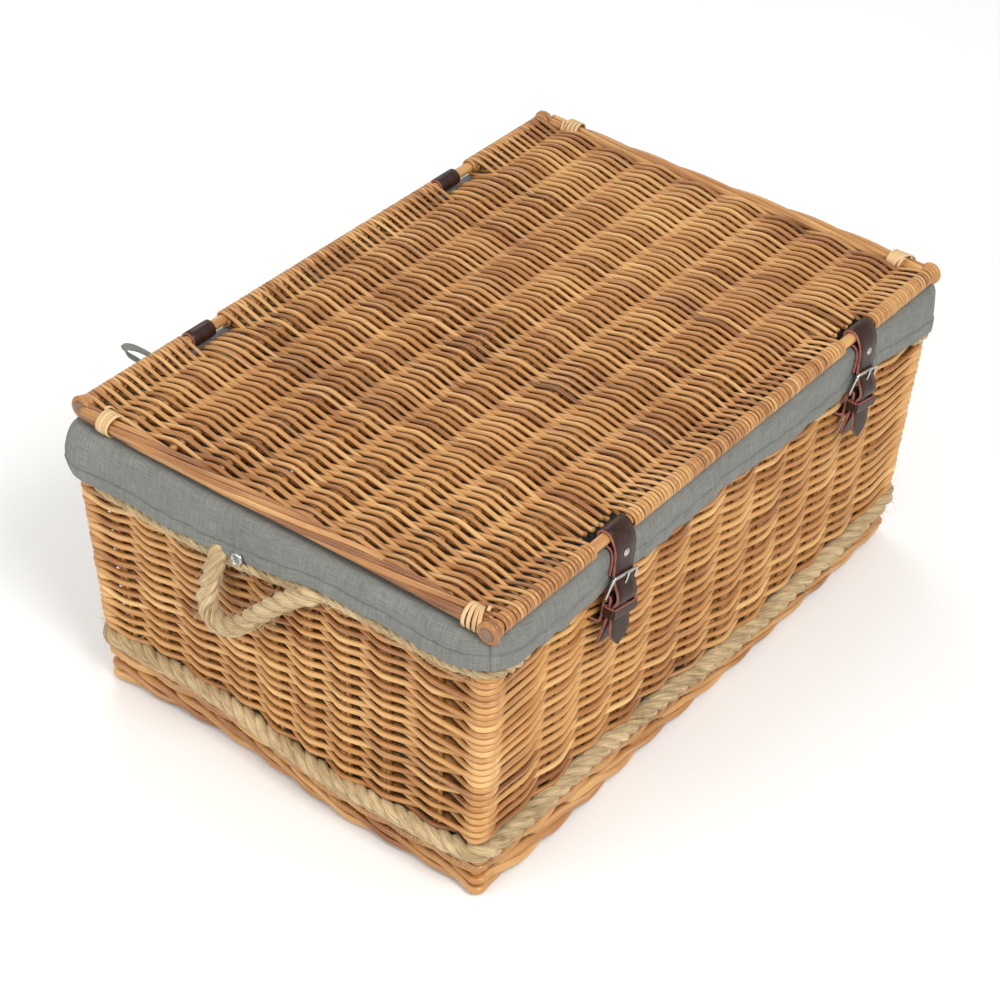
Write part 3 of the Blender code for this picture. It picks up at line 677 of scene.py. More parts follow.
# the hem's height, in the same way
HEM_KNOTS = (
    ((-0.309, 0.2510), (-0.284, 0.2430), (-0.251, 0.2388), (-0.217, 0.2392), (-0.185, 0.2402), (-0.139, 0.2412),
     (-0.078, 0.2412), (-0.011, 0.2445), (0.026, 0.2395), (0.094, 0.2345), (0.166, 0.2350), (0.208, 0.2382),
     (0.250, 0.2330), (0.302, 0.2265)),
    ((-0.21, 0.2265), (-0.10, 0.2330), (0.0, 0.2345), (0.12, 0.2365), (0.21, 0.2395)),
    ((-0.31, 0.2395), (-0.15, 0.2355), (0.0, 0.2360), (0.16, 0.2325), (0.31, 0.2290)),
    ((-0.209, 0.2311), (-0.196, 0.2293), (-0.178, 0.2274), (-0.151, 0.2261), (-0.108, 0.2245), (-0.080, 0.2243),
     (-0.055, 0.2260), (-0.031, 0.2276), (-0.007, 0.2313), (0.023, 0.2377), (0.053, 0.2426), (0.092, 0.2427),
     (0.131, 0.2429), (0.163, 0.2416), (0.195, 0.2469), (0.209, 0.2541)),
)


def height_along(knots, sides, along, soften):
    """Heights given along each side, run smoothly round the whole outline."""
    z = np.empty(len(along))
    for k in range(4):
        xs, zs = zip(*knots[k])
        here = sides == k
        z[here] = np.interp(along[here], xs, zs)
        there = sides == k + 4
        z[there] = np.interp(along[there], (0, math.pi / 2), (zs[-1], knots[(k + 1) % 4][0][1]))
    return soft(z, soften)


def soft(values, width):
    """A closed run of values, averaged over its neighbours."""
    kernel = np.hanning(2 * width + 3)
    kernel /= kernel.sum()
    pad = width + 1
    return np.convolve(np.concatenate([values[-pad:], values, values[:pad]]), kernel, "valid")


def rope_shows(sides, along):
    """1 where the high rope comes out below the hem: the left end, and the front's two corners."""
    left_end = (sides == 3) | (sides == 7)
    front_corners = (sides == 4) | (sides == 0) & ((along < -0.262) | (along > 0.275))
    return soft(np.where(left_end | front_corners, 1.0, 0.0), 9)


def room_at_corners(sides, along, reach, row):
    """1 where a row passes outside a corner post, and how far it rises there to lie clear of its neighbours."""
    outside, rise = np.zeros(len(along)), np.zeros(len(along))
    for k in range(4):
        after = (k + 1) % 4
        if not inside_at(row, k):
            near = ((sides == k + 4) | ((sides == k) & (along > reach[k] - 0.007))
                    | ((sides == after) & (along < 0.007 - reach[after]))).astype(float)
            outside += near
            rise += near * (1 / 6 + (row + k) % 4 / 3) * 0.0047
    return soft(outside, 1), soft(rise, 1)


def siding():
    """Rows of willow woven in and out of paired stakes, three rows in four outside at each corner."""
    rng = random.Random(21)
    lower, upper = Tubes(), Tubes()
    for row in range(ROWS):
        share = row / (ROWS - 1)
        share *= 1.10 - 0.10 * share  # rows lie closer towards the top
        place_at, normal, sides, along = outline(0.055 + 0.2 * share, CORE, 0.0030, 0.0047)
        bottom = height_along(LOW_ROPE, sides, along, 9) + 0.0108
        z = bottom + (WEAVE_TOP - bottom) * share
        reach = [np.abs(along[sides == k]).max() for k in range(4)]
        swing = in_and_out(sides, along, reach, row) * SIDE_SWING * rng.uniform(0.94, 1.06)
        at_corner, rise = room_at_corners(sides, along, reach, row)
        behind_rope = np.clip((z - height_along(HEM_KNOTS, sides, along, 4) + 0.0135) / 0.004, 0, 1)
        swing = swing + 0.0012 * at_corner - 0.0045 * behind_rope * rope_shows(sides, along)
        around = np.arange(len(along)) / len(along)
        drift = 0.0008 * np.sin(around * math.tau * 9 + z * 30) + 0.0005 * np.sin(around * math.tau * 23 + z * 11)
        own = 0.00032 * smooth_noise(around * 20, row + 70)
        points = hand_made(np.column_stack([place_at + normal * swing[:, None], z + drift + own + rise - 0.0023]))
        radius = 0.00232 * (1 + 0.09 * smooth_noise(around * 9, row + 9)) * (1 + 0.30 * at_corner)
        tones = rod_tones(len(points), rng, 0.50 - 0.12 * (1 - min(1.0, row / 12)), 0.15)
        # Rows outside a corner post are painted lighter: a painted highlight on the rods where they bulge round the
        # corner
        tones = np.minimum(1, tones + 0.16 * at_corner)
        (lower if row < ROWS // 2 else upper).add(points, radius, tones, closed=True)
    lower.build("siding_lower", SIDE_WILLOW, "basket",
                [f"wall_{s}" for s in ("front", "back", "left", "right")], "willow")
    upper.build("siding_upper", SIDE_WILLOW, "basket",
                [f"corner_post_{e}_{s}" for e in ("front", "back") for s in ("left", "right")], "willow")
    siding_stakes(rng)


def siding_stakes(rng):
    """The paired upright rods in each wall, and a thick post in each corner."""
    stakes = Tubes()
    z = np.linspace(0.020, STAKE_TOP, 14)
    for way, out, places in SIDES:
        far = half_at(z, HALF_WIDTH if way[0] else HALF_LENGTH) - CORE
        for p, half in product(places, (-1, 1)):
            lean = rng.uniform(-0.0012, 0.0012) * (z - 0.15) / 0.1
            shift = p + half * 0.0023 + lean
            points = xyz(way[0] * shift + out[0] * far, way[1] * shift + out[1] * far, z)
            stakes.add(hand_made(points), 0.00215, rng.uniform(0.3, 0.75), side=(*way, 0))
    z = np.linspace(0.004, STAKE_TOP, 14)
    for sx, sy in CORNERS:
        points = xyz(sx * (half_at(z, HALF_LENGTH) - CORE - 0.0030), sy * (half_at(z, HALF_WIDTH) - CORE - 0.0030), z)
        stakes.add(hand_made(points), 0.0050, 0.75, side=(1, 0, 0), sides=12)
    stakes.build("siding_stakes", SIDE_WILLOW, "basket", (), "willow")


def foot_wale():
    """Two rounds of heavy three-rod waling below the rope: each rod passes outside two stakes and inside one."""
    rng = random.Random(33)
    rounds = (Tubes(), Tubes())
    steps = 45
    for row, tubes in enumerate(rounds):
        place_at, normal, sides, along = outline(0.012 + 0.018 * row, CORE - 0.0006, 0.0042, 0.0042)
        quarter = (height_along(LOW_ROPE, sides, along, 9) - 0.0086) / 4
        length = run_along(place_at)
        around = length / (length[-1] + np.linalg.norm(place_at[0] - place_at[-1]))
        for rod in range(3):
            phase = (around * steps - rod - row * 0.41) % 3
            out_at = np.interp(phase, [0, 1, 2, 3], [-1, 0.9, 1.0, -1])
            swing = np.sin(np.clip(out_at, -1, 1) * math.pi / 2) * 0.0024
            swing = swing + 0.0020 * soft(np.where(sides >= 4, 1.0, 0.0), 2)
            rise = np.interp(phase, [0, 0.55, 1.1, 1.9, 2.45, 3], [0.05, 0.46, 0.50, -0.50, -0.46, 0.05])
            z = 0.0010 + quarter * (1 + 2 * row + rise)
            radius = np.maximum(0.0027, 0.38 * quarter) * (1 + 0.06 * smooth_noise(around * 12, row * 5 + rod))
            z = np.maximum(z, radius + 0.0002)
            points = hand_made(np.column_stack([place_at + normal * swing[:, None], z]))
            tubes.add(points, radius, rod_tones(len(points), rng, 0.50, 0.15), closed=True, sides=10)
    rounds[0].build("foot_lower", SIDE_WILLOW, "basket", ["foot_front", "foot_back"], "willow")
    rounds[1].build("foot_upper", SIDE_WILLOW, "basket", ["foot_left", "foot_right"], "willow")


FLOOR_Z, STICK_PITCH, FLOOR_PITCH, FLOOR_HALF = 0.0076, 0.046, 0.0066, 0.286


def base_weave():
    """The floor: thick rods across, woven with finer ones, seen from below."""
    rng = random.Random(44)
    tubes = Tubes()
    sticks = [(k - 3.5) * STICK_PITCH for k in range(8)]
    for y in sticks:
        tubes.add(xyz(np.linspace(-0.288, 0.288, 12), y, FLOOR_Z), 0.0028, 0.4, side=(0, 1, 0))
    y = np.linspace(-0.190, 0.190, 72)
    wave = weave_wave((y - sticks[0]) / STICK_PITCH)
    for k in range(int(2 * FLOOR_HALF / FLOOR_PITCH)):
        x = FLOOR_PITCH * (k + 0.5) - FLOOR_HALF + 0.0008 * smooth_noise(y * 5, k)
        points = xyz(x, y, FLOOR_Z + (1 if k % 2 else -1) * wave * 0.0037)
        tubes.add(points, 0.0033, clamped(rng.gauss(0.45, 0.14)), side=(1, 0, 0), flat=0.85)
    tubes.build("base_weave", SIDE_WILLOW, "basket", ["base_panel"], "willow")


# ---------------------------------------------------------------- ropes

def rope(tubes, hairs, line, radius, lay, side, rng, closed=False, hair=0.0, hairy_to=1.0):
    """Three strands laid round a line. hair is how many stray fibres stand off each metre, up to x = hairy_to."""
    length = run_along(line)
    total = length[-1] + (np.linalg.norm(line[0] - line[-1]) if closed else 0)
    turns = max(1, round(total / lay)) if closed else total / lay
    tangent, across, out = axes_along(line, side, closed)
    spread, thick = 0.475 * radius, 0.555 * radius
    swell = 1 + 0.04 * smooth_noise(length * 30, int(radius * 1e5))
    for k in range(3):
        turn = (length / total * turns + k / 3) * math.tau + 0.25 * np.sin(length * 40)
        offset = across * np.cos(turn)[:, None] + out * np.sin(turn)[:, None]
        points = line + offset * (spread * swell)[:, None]
        tubes.add(points, thick * swell, rng.uniform(0.3, 0.7), side=side, closed=closed, sides=12)
        for _ in range(int(hair * total / 3)):
            i = rng.randrange(len(points))
            aim = unit(offset[i] + 0.9 * across[i] * rng.uniform(-1, 1) + 0.9 * out[i] * rng.uniform(-1, 1))
            way = unit(tangent[i] * rng.choice((-1, 1)) * rng.uniform(0.4, 1.6) + aim * 0.9)
            begin = points[i] + unit(offset[i] + 0.4 * aim) * thick * 0.9
            reach = rng.uniform(0.003, 0.010)
            curl = unit(np.array([rng.uniform(-1, 1), rng.uniform(-1, 1), rng.uniform(-1.2, 0.6)]))
            t = np.linspace(0, 1, 4)[:, None]
            path = begin + way * reach * t + curl * reach * 0.45 * t ** 2
            if path[:, 2].min() > 0.001 and begin[0] < hairy_to:
                hairs.add(path, np.array([0.00013, 0.00012, 0.0001, 0.00006]), rng.uniform(0.5, 1),
                          side=unit(np.cross(way, aim) + 0.01), sides=3)


def ropes():
    """The thick rope round the foot and the thin one at the hem, which goes in behind the hem along the front."""
    rng = random.Random(66)
    hairs = Tubes()
    place_at, _, sides, along = outline(0.045, 0.0014, 0.013, 0.003)
    around = np.arange(len(along)) / len(along)
    z = height_along(LOW_ROPE, sides, along, 12) + 0.0006 * smooth_noise(around * 11, 3)
    low, _ = resample(hand_made(np.column_stack([place_at, z]))[::5], 0.0022, closed=True)
    tubes = Tubes()
    rope(tubes, hairs, low, 0.0082, 0.042, (0, 0, 1), rng, closed=True, hair=1700)
    tubes.build("rope_low", JUTE, "basket", ["rope_trim_bottom"], "rope")

    place_at, normal, sides, along = outline(0.235, 0.0, 0.013, 0.003)
    around = np.arange(len(along)) / len(along)
    shows = rope_shows(sides, along)
    place_at = place_at - normal * (0.0046 - 0.0042 * shows)[:, None]
    z = height_along(HEM_KNOTS, sides, along, 8) + 0.0095 - 0.0158 * shows + 0.0006 * smooth_noise(around * 14, 8)
    high, _ = resample(np.column_stack([place_at, z])[::5], 0.0022, closed=True)
    tubes = Tubes()
    rope(tubes, hairs, high, 0.0056, 0.030, (0, 0, 1), rng, closed=True, hair=1400, hairy_to=-0.275)
    tubes.build("rope_high", JUTE, "basket", ["rope_trim_top"], "rope")
    hairs.build("rope_hairs", HAIR, "basket", (), "rope")


HANDLE_X = 0.3242  # how far out the handles hang
HANDLE_ROUTE = (  # (y, z, how far it stands out) of the left handle's middle
    (0.0490, 0.2330, -0.0220), (0.0500, 0.2280, -0.0110), (0.0500, 0.2200, -0.0035), (0.0505, 0.2120, 0.0000),
    (0.0520, 0.2040, 0.0014), (0.0535, 0.1950, 0.0026), (0.0546, 0.1885, 0.0034), (0.0542, 0.1815, 0.0048),
    (0.0512, 0.1745, 0.0060), (0.0455, 0.1698, 0.0070), (0.0380, 0.1684, 0.0075), (0.0290, 0.1708, 0.0076),
    (0.0200, 0.1770, 0.0070), (0.0114, 0.1846, 0.0060), (0.0030, 0.1938, 0.0048), (-0.0060, 0.2034, 0.0030),
    (-0.0125, 0.2100, 0.0010), (-0.0220, 0.2185, -0.0020), (-0.0340, 0.2275, -0.0045), (-0.0460, 0.2335, -0.0090),
    (-0.0560, 0.2360, -0.0200),
)


def handles():
    for side, name in ((-1, "left"), (1, "right")):
        rng = random.Random(70 + side)
        tubes, hairs = Tubes(), Tubes()
        line, _ = resample([(side * (HANDLE_X + o), y, z) for y, z, o in HANDLE_ROUTE], 0.0016)
        rope(tubes, hairs, line, 0.0085, 0.040, (side, 0, 0), rng, hair=1700)
        for gathered, what, material in ((tubes, "rope", JUTE), (hairs, "hairs", HAIR)):
            obj = gathered.build(f"handle_{what}_{name}", material, None,
                                 ["rope_handle_" + name] if what == "rope" else (), "rope")
            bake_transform(obj)
        knots = Tubes()
        turn = np.linspace(0.3, math.tau + 0.3, 16)[:-1]
        for y in (0.0490, -0.0530):
            ring = xyz(side * (0.2935 + 0.0035 * np.sin(turn * 1.5)), y + 0.0072 * np.cos(turn),
                       0.212 + 0.0072 * np.sin(turn))
            line, _ = resample(ring, 0.0018, closed=True)
            rope(knots, None, line, 0.0062, 0.022, (side, 0, 0), rng, closed=True)
        knots.build("handle_knots_" + name, JUTE, "basket",
                    [f"handle_knot_{name}_{e}" for e in ("back", "front")], "rope")


# ---------------------------------------------------------------- liner

STUD_X, STUD_Y, STUD_Z = 0.3186, 0.030, 0.2300  # the left end's press stud; the right end's is its mirror


def strap_pressure(sides, along):
    """1 where a leather holds the cloth flat, falling to 0 away from it."""
    press = np.zeros(len(along))
    for k, xs in ((0, STRAP_X), (2, [-x for x in HINGE_X])):
        for x in xs:
            here = sides == k
            press[here] = np.maximum(press[here], np.exp(-((along[here] - x) / 0.030) ** 4))
    return press


def peak(where, width):
    """1 in the middle of the marked points, falling smoothly to 0 on both sides of them."""
    value = soft(np.where(where, 1.0, 0.0), width)
    return value / value.max()


SKIRT_TOP = 0.2655  # where the skirt starts to turn in over the border
TURNED_UP = (0.0, 0.0010, 0.0040, 0.0080, 0.0108, 0.0117, 0.0126, 0.0145)  # how far up each row of the hem is
STITCH_ROW = 5  # the one of those rows that its stitches draw in
FOLD = ((0.0004, 0.2682), (-0.0006, 0.2700), (-0.0024, 0.2716), (-0.0056, 0.2722), (-0.0100, 0.2720),
        (-0.0140, 0.2722), (-0.0165, 0.2712))  # (outward, z) over the border
BAG = ((0.0172, 0.266, 0.010), (0.0190, 0.255, 0.012), (0.0200, 0.240, 0.013), (0.0203, 0.205, 0.014),
       (0.0212, 0.165, 0.014), (0.0220, 0.125, 0.014), (0.0228, 0.085, 0.014), (0.0236, 0.050, 0.014),
       (0.0246, 0.030, 0.013), (0.0262, 0.0190, 0.012))  # (inset, z, corner radius) down the inside


def skirt_rows(place_at, normal, sides, along):
    """The outside of the lining, from its hem up: held by the leathers, gathered at the studs, loose elsewhere."""
    hem = height_along(HEM_KNOTS, sides, along, 4)
    around = np.arange(len(along)) / len(along)
    press = strap_pressure(sides, along)
    free = 1 - press
    corner, back_left = peak(sides >= 4, 19), peak(sides == 6, 12)
    folds = smooth_noise(around * 26, 101) * 0.6 + smooth_noise(around * 61, 102) * 0.4
    drift = smooth_noise(around * 9, 103)
    from_stud = np.where(sides == 3, along + STUD_Y, np.where(sides == 1, along - STUD_Y, 1.0))
    pleats = np.exp(-(from_stud / 0.017) ** 2) * (0.0012 * np.cos(from_stud / 0.0052 * math.pi) - 0.0012)
    rows = []
    for k in range(len(TURNED_UP) + 10):
        up = TURNED_UP[min(k, len(TURNED_UP) - 1)]
        z = hem + up + (SKIRT_TOP - hem - up) * max(0, k + 1 - len(TURNED_UP)) / 10
        f = (z - hem) / (SKIRT_TOP - hem)
        belly = np.sin(math.pi * np.minimum(1.0, f * 0.62 + 0.22)) ** 0.7
        out = 0.0006 + free * (0.0022 * belly + 0.0009 * folds * (1 - f) + 0.0007 * folds * belly
                               + 0.0008 * drift * (1 - f * 0.6)) + corner * 0.0030 * (1 - 0.5 * f)
        out = out + back_left * 0.0052 * np.sin(math.pi * np.clip(f * 0.8 + 0.16, 0, 1))
        if k < STITCH_ROW:
            out = out + 0.0010 * (1 - 0.4 * press)  # the cloth is double in the hem
        if k == STITCH_ROW:
            out = out - 0.0006
        ripple = 0.0006 * smooth_noise(around * 40, 104) + 0.0003 * smooth_noise(around * 40, 108) * (2 * f - 1)
        out = np.maximum(out + pleats, 0.0001) + ripple * free
        rows.append(np.column_stack([place_at + normal * out[:, None], z]))
    return rows


def inner_rows(place_at, normal, sides, along):
    """The rest of the lining: over the border, down inside the walls and across the floor."""
    around = np.arange(len(along)) / len(along)
    corner = peak(sides >= 4, 19)
    rows = []
    for outward, z in FOLD:
        lump = 0.0005 * smooth_noise(around * 33 + outward * 90, 105)
        out = outward + corner * 0.0012 * (outward > -0.003) + lump * 0.6
        rows.append(np.column_stack([place_at + normal * out[:, None], z + lump * 0.3]))
    for inset, z, radius in BAG:
        half_x = HALF_LENGTH - inset - 0.0105 - 0.004 * max(0, 0.2 - z) / 0.2 + 0.0105 * max(0, z - 0.23) / 0.036
        inner = rounded_like(place_at, normal, sides, along, half_x, HALF_WIDTH - inset, radius)
        sway = 0.0013 * smooth_noise(around * 21 + z * 2, 106) * (1 if z < 0.25 else 0.3)
        inner = inner + normal * (np.minimum(0, sway) - 0.0002)[:, None]
        rows.append(np.column_stack([inner, np.full(len(along), z)]))
    for share in (0.96, 0.86, 0.7, 0.5, 0.3, 0.1):
        inner = rounded_like(place_at, normal, sides, along, (HALF_LENGTH - 0.038) * share,
                             (HALF_WIDTH - 0.028) * share, 0.010 * share)
        lump = 0.0011 * (1 + smooth_noise(around * 8 + share * 3, 107)) * (1 - 0.5 * share)
        rows.append(np.column_stack([inner, 0.0160 + np.abs(lump)]))
    return rows


def liner_threads(grid, normal, sides):
    """The stitches along the hem, and the seam up each corner of the skirt."""
    threads = Tubes()
    n = len(sides)
    line = grid[STITCH_ROW] + np.column_stack([normal * 0.0006, np.zeros(n)])
    for a in range(n):
        b = (a + 1) % n
        for share in (0.12, 0.62):
            begin, finish = line[a] * (1 - share) + line[b] * share, line[a] * (0.7 - share) + line[b] * (0.3 + share)
            threads.add(np.stack([begin, (begin + finish) / 2 + [0, 0, 0.0001], finish]), 0.00024, 0.6, sides=5)
    for k in range(4):
        middle = np.flatnonzero(sides == k + 4)[2]
        x, y = normal[middle]
        threads.add(grid[:26, middle] + (x * 0.0006, y * 0.0006, 0), 0.00034, 0.5, side=(y, -x, 0), sides=6)
    threads.build("liner_threads", THREAD, "basket", (), "cloth")


def liner():
    """The cloth bag: a skirt with a hem outside, folded over the border, then the walls and floor inside."""
    place_at, normal, sides, along = outline(RIM_Z, -0.0002, 0.0165, 0.0042)
    grid = np.stack(skirt_rows(place_at, normal, sides, along) + inner_rows(place_at, normal, sides, along))
    count, n = grid.shape[:2]
    i, j = np.meshgrid(np.arange(count - 1), np.arange(n), indexing="ij")
    k = (j + 1) % n
    quads = np.stack([i * n + j, i * n + k, (i + 1) * n + k, (i + 1) * n + j], -1).reshape(-1, 4)
    last = (count - 1) * n
    fan = [(last + a, last + (a + 1) % n, count * n) for a in range(n)]
    mesh = bpy.data.meshes.new("liner_cloth")
    mesh.from_pydata(np.vstack([grid.reshape(-1, 3), [[0, 0, 0.0172]]]).tolist(), [], quads.tolist() + fan)
    mesh.shade_smooth()
    steps = np.linalg.norm(np.diff(grid, axis=0), axis=2)
    height = np.vstack([np.zeros(n), np.cumsum(steps, 0)])
    cloth = xyz(run_along(place_at), height, 0).reshape(-1, 3)
    keep_vectors(mesh, "cloth", np.vstack([cloth, [[0, height[-1, 0] + 0.02, 0]]]))
    obj = place(bpy.data.objects.new("liner_cloth", mesh), CLOTH, "basket", ["liner"])
    shell = obj.modifiers.new("thickness", "SOLIDIFY")
    shell.thickness, shell.offset = 0.0011, 0.0
    liner_threads(grid, normal, sides)


def rounded_like(place_at, normal, sides, along, half_x, half_y, radius):
    """The outline's points moved on to a smaller rounded rectangle, each to its own place along it."""
    out = np.empty_like(place_at)
    for k, (way, face, _) in enumerate(SIDES):
        way, face = np.array(way, float), np.array(face, float)
        reach = (half_x if way[0] else half_y) - radius
        far = half_y if way[0] else half_x
        here = sides == k
        scale = reach / np.abs(along[here]).max()
        out[here] = way * (along[here] * scale)[:, None] + face * far
        there = sides == k + 4
        out[there] = way * reach + face * (far - radius) + normal[there] * radius
    return out


TIE_ROUTE = (
    (-0.1965, 0.2172, 0.256), (-0.2020, 0.2205, 0.266), (-0.2115, 0.2252, 0.277), (-0.2210, 0.2285, 0.286),
    (-0.2285, 0.2298, 0.2905), (-0.2325, 0.2295, 0.2905), (-0.2305, 0.2280, 0.2850), (-0.2215, 0.2250, 0.2750),
    (-0.2125, 0.2205, 0.2630), (-0.2055, 0.2172, 0.2530),
)


def liner_tie():
    """A loop of the same cloth, as tape, that stands out at the back left."""
    line, length = resample(TIE_ROUTE, 0.0025)
    obj = band("liner_tie_tape", line, 0.0090, 0.0010, unit((0.35, 0.75, 0.15)), CLOTH, CLOTH, "basket",
               ["liner_tie"])


# ---------------------------------------------------------------- leather

def band(name, line, width, thick, across, face, edge, body, replaces=(), tip=1.0, chamfer=0.0003):
    """A strap along a line: flat faces and cut edges, narrowed along its length to the shares of its width in tip."""
    line = np.asarray(line, float)
    n = len(line)
    _, across, out = axes_along(line, across)
    half = np.broadcast_to(np.asarray(width, float) / 2 * tip, (n,))
    t, c = thick / 2, chamfer
    ring = []  # (sideways, outward) points round the strap: its chamfered corners, and faces that swell a little
    for sx, sz in ((-1, -1), (1, -1), (1, 1), (-1, 1)):
        quarter = [(sx * half, sz * (t - c)), (sx * (half - c), sz * t), (sx * half * 0.45, sz * t * 1.04)]
        ring += quarter if sx == sz else quarter[::-1]
    verts = np.stack([line + across * a[:, None] + out * b for a, b in ring], 1)
    m = len(ring)
    mesh = bpy.data.meshes.new(name)
    faces = [(i * m + j, i * m + (j + 1) % m, (i + 1) * m + (j + 1) % m, (i + 1) * m + j)
             for i in range(n - 1) for j in range(m)]
    faces += [tuple(range(m))[::-1], tuple((n - 1) * m + j for j in range(m))]
    mesh.from_pydata(verts.reshape(-1, 3).tolist(), [], faces)
    keep_vectors(mesh, "grain", np.stack([xyz(run_along(line), a, b) for a, b in ring], 1))
    reach = [abs(np.mean(a)) for a, _ in ring]
    edges = {j for j in range(m) if min(reach[j], reach[(j + 1) % m]) > 0.8 * max(reach)}
    for k, polygon in enumerate(mesh.polygons):
        polygon.material_index = 1 if k >= (n - 1) * m or k % m in edges else 0
    mesh.shade_smooth()
    mesh.set_sharp_from_angle(angle=math.radians(50))
    return place(bpy.data.objects.new(name, mesh), (face, edge), body, replaces)


def fitted(points):
    """Evenly spaced (0, W, z) points along a leather, from (W, z) ones."""
    return resample([(0.0, w, z) for w, z in points], 0.0011)[0]


def wheel(middle, radius, first, last, count):
    """Points on an arc between two angles in degrees."""
    return [(middle[0] + radius * math.cos(math.radians(a)), middle[1] + radius * math.sin(math.radians(a)))
            for a in np.linspace(first, last, count)]


def slanted(line, x):
    """A front leather's (0, W, z) points put at x, leaning to the left below FLEX_Z, and the way across it."""
    drop = np.minimum(0.0, line[:, 2] - FLEX_Z)
    t = np.clip(-drop / 0.007, 0, 1)
    turned_by = SLANT * t ** 2 * (3 - 2 * t)
    z = np.maximum(line[:, 2], FLEX_Z) + drop * math.cos(SLANT)
    return xyz(x + drop * math.sin(SLANT), -line[:, 1], z), xyz(np.cos(turned_by), 0, -np.sin(turned_by))


def round_rod(bottom_inner):
    """(W, z) of a leather from low on its inner leg, over the lid's rod and down to the top of its outer leg."""
    inner = [(INNER_LEG_W, bottom_inner), (INNER_LEG_W, (bottom_inner + 0.268) / 2), (INNER_LEG_W, 0.2680),
             (0.2143, 0.2725), (0.2115, 0.2752)]
    ring = wheel((ROD_Y, ROD_Z), 0.0064, -90, -330, 15)
    return inner + ring + [(0.2152, 0.2815), (0.2171, 0.2765), (0.2180, 0.2715), (OUTER_LEG_W, 0.2660)]


BILLET = (  # (W, z) of the single leather from below the riveted loop to its tip
    (0.2180, 0.2617), (0.2182, 0.2560), (0.2190, 0.2500), (0.2203, 0.2462), (0.2222, 0.2425), (0.2245, 0.2385),
    (0.2262, 0.2345), (0.2266, 0.2310), (0.2258, 0.2280), (0.2242, 0.2252), (0.2235, 0.2215), (0.2236, 0.2160),
    (0.2246, 0.2090), (0.2260, 0.2000), (0.2268, 0.1900),
)


def pointed(line, reach):
    """How wide a strap is along its line, as a share: full, then narrowing to a rounded point."""
    left = np.concatenate([np.cumsum(np.linalg.norm(np.diff(line, axis=0), axis=1)[::-1])[::-1], [0]])
    return np.clip(1 - np.clip(1 - left / reach, 0, 1) ** 2.1, 0.10, 1)


HEEL, BUCKLE_TIP = (OUTER_LEG_W, 0.230), (0.2219, 0.250)  # (W, z) of the buckle's heel bar and of its far bar
KEEPER_W, KEEPER_Z = 0.2226, 0.2205


def front_straps():
    for x, s in zip(STRAP_X, ("left", "right")):
        buckled_strap(x, s)
        lower_strap(x, s)
        buckle(x, s)
        rivet_head("strap_rivet_head_" + s, (x, -OUTER_LEG_W - LEATHER / 2, 0.2675), (0, -1, 0), "strap_top_" + s,
                   "strap_rivet_" + s)


def buckled_strap(x, s):
    """The strap from the lid: its riveted loop round the rod and the single leather below, through the buckle."""
    line = fitted(round_rod(0.2490) + list(BILLET))
    points, across = slanted(line, x)
    width = np.where(line[:, 2] < FLEX_Z, STRAP_WIDTH - 0.0008, STRAP_WIDTH)
    strap = band("strap_" + s, points, width, LEATHER * 0.95, across, LEATHER_FACE, LEATHER_EDGE, None,
                 ["strap_loop_" + s, "strap_billet_" + s], tip=pointed(points, 0.015))
    strap.data.materials.append(TAIL_PAINTED_SHEEN)
    for polygon in strap.data.polygons:  # the tip's outer face is duller, and painted paler: a painted sheen where it tilts out
        if polygon.material_index == 0 and polygon.center.z < 0.2175 and polygon.center.y < -0.2228:
            polygon.material_index = 2
    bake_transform(strap)


def lower_strap(x, s):
    """The strap from the wall that holds the buckle by its heel bar, and its keeper."""
    line = fitted([(0.2010, 0.2080), (0.2110, 0.2080), (0.2142, 0.2092), (INNER_LEG_W, 0.2122), (0.2153, 0.222)]
                  + wheel(HEEL, 0.0027, 180, 0, 9)
                  + [(0.2207, 0.2225), (0.2207, 0.2160), (0.2196, 0.2080), (0.2178, 0.2000), (0.2165, 0.1920)])
    points, across = slanted(line, x)
    band("lower_strap_leather_" + s, points, STRAP_WIDTH, LEATHER * 0.95, across, LEATHER_FACE, LEATHER_EDGE,
         "basket", ["lower_strap_" + s])
    ring = rounded_path(0.0152, 0.0046, 0.0016)
    keeper, _ = resample([on_strap(x, u, KEEPER_W + v, KEEPER_Z) for u, v in ring], 0.0011)
    band("keeper_" + s, keeper, 0.0085, 0.0020, (math.sin(SLANT), 0, math.cos(SLANT)), LEATHER_FACE, LEATHER_EDGE,
         "basket", ["strap_keeper_" + s])


def rounded_path(half_u, half_v, radius):
    """A rounded rectangle that starts and ends in the middle of its inner side."""
    points = [(0, -half_v)]
    for sx, sy, start in ((1, -1, -90), (1, 1, 0), (-1, 1, 90), (-1, -1, 180)):
        for a in np.linspace(start, start + 90, 6):
            points.append((sx * (half_u - radius) + radius * math.cos(math.radians(a)),
                           sy * (half_v - radius) + radius * math.sin(math.radians(a))))
    return points + [(-0.0001, -half_v)]


def on_strap(x, u, w, z):
    """A point in the slanted strap's own axes, as a place in the frame."""
    dz = z - FLEX_Z
    return (x + u * math.cos(SLANT) + dz * math.sin(SLANT), -w, FLEX_Z - u * math.sin(SLANT) + dz * math.cos(SLANT))


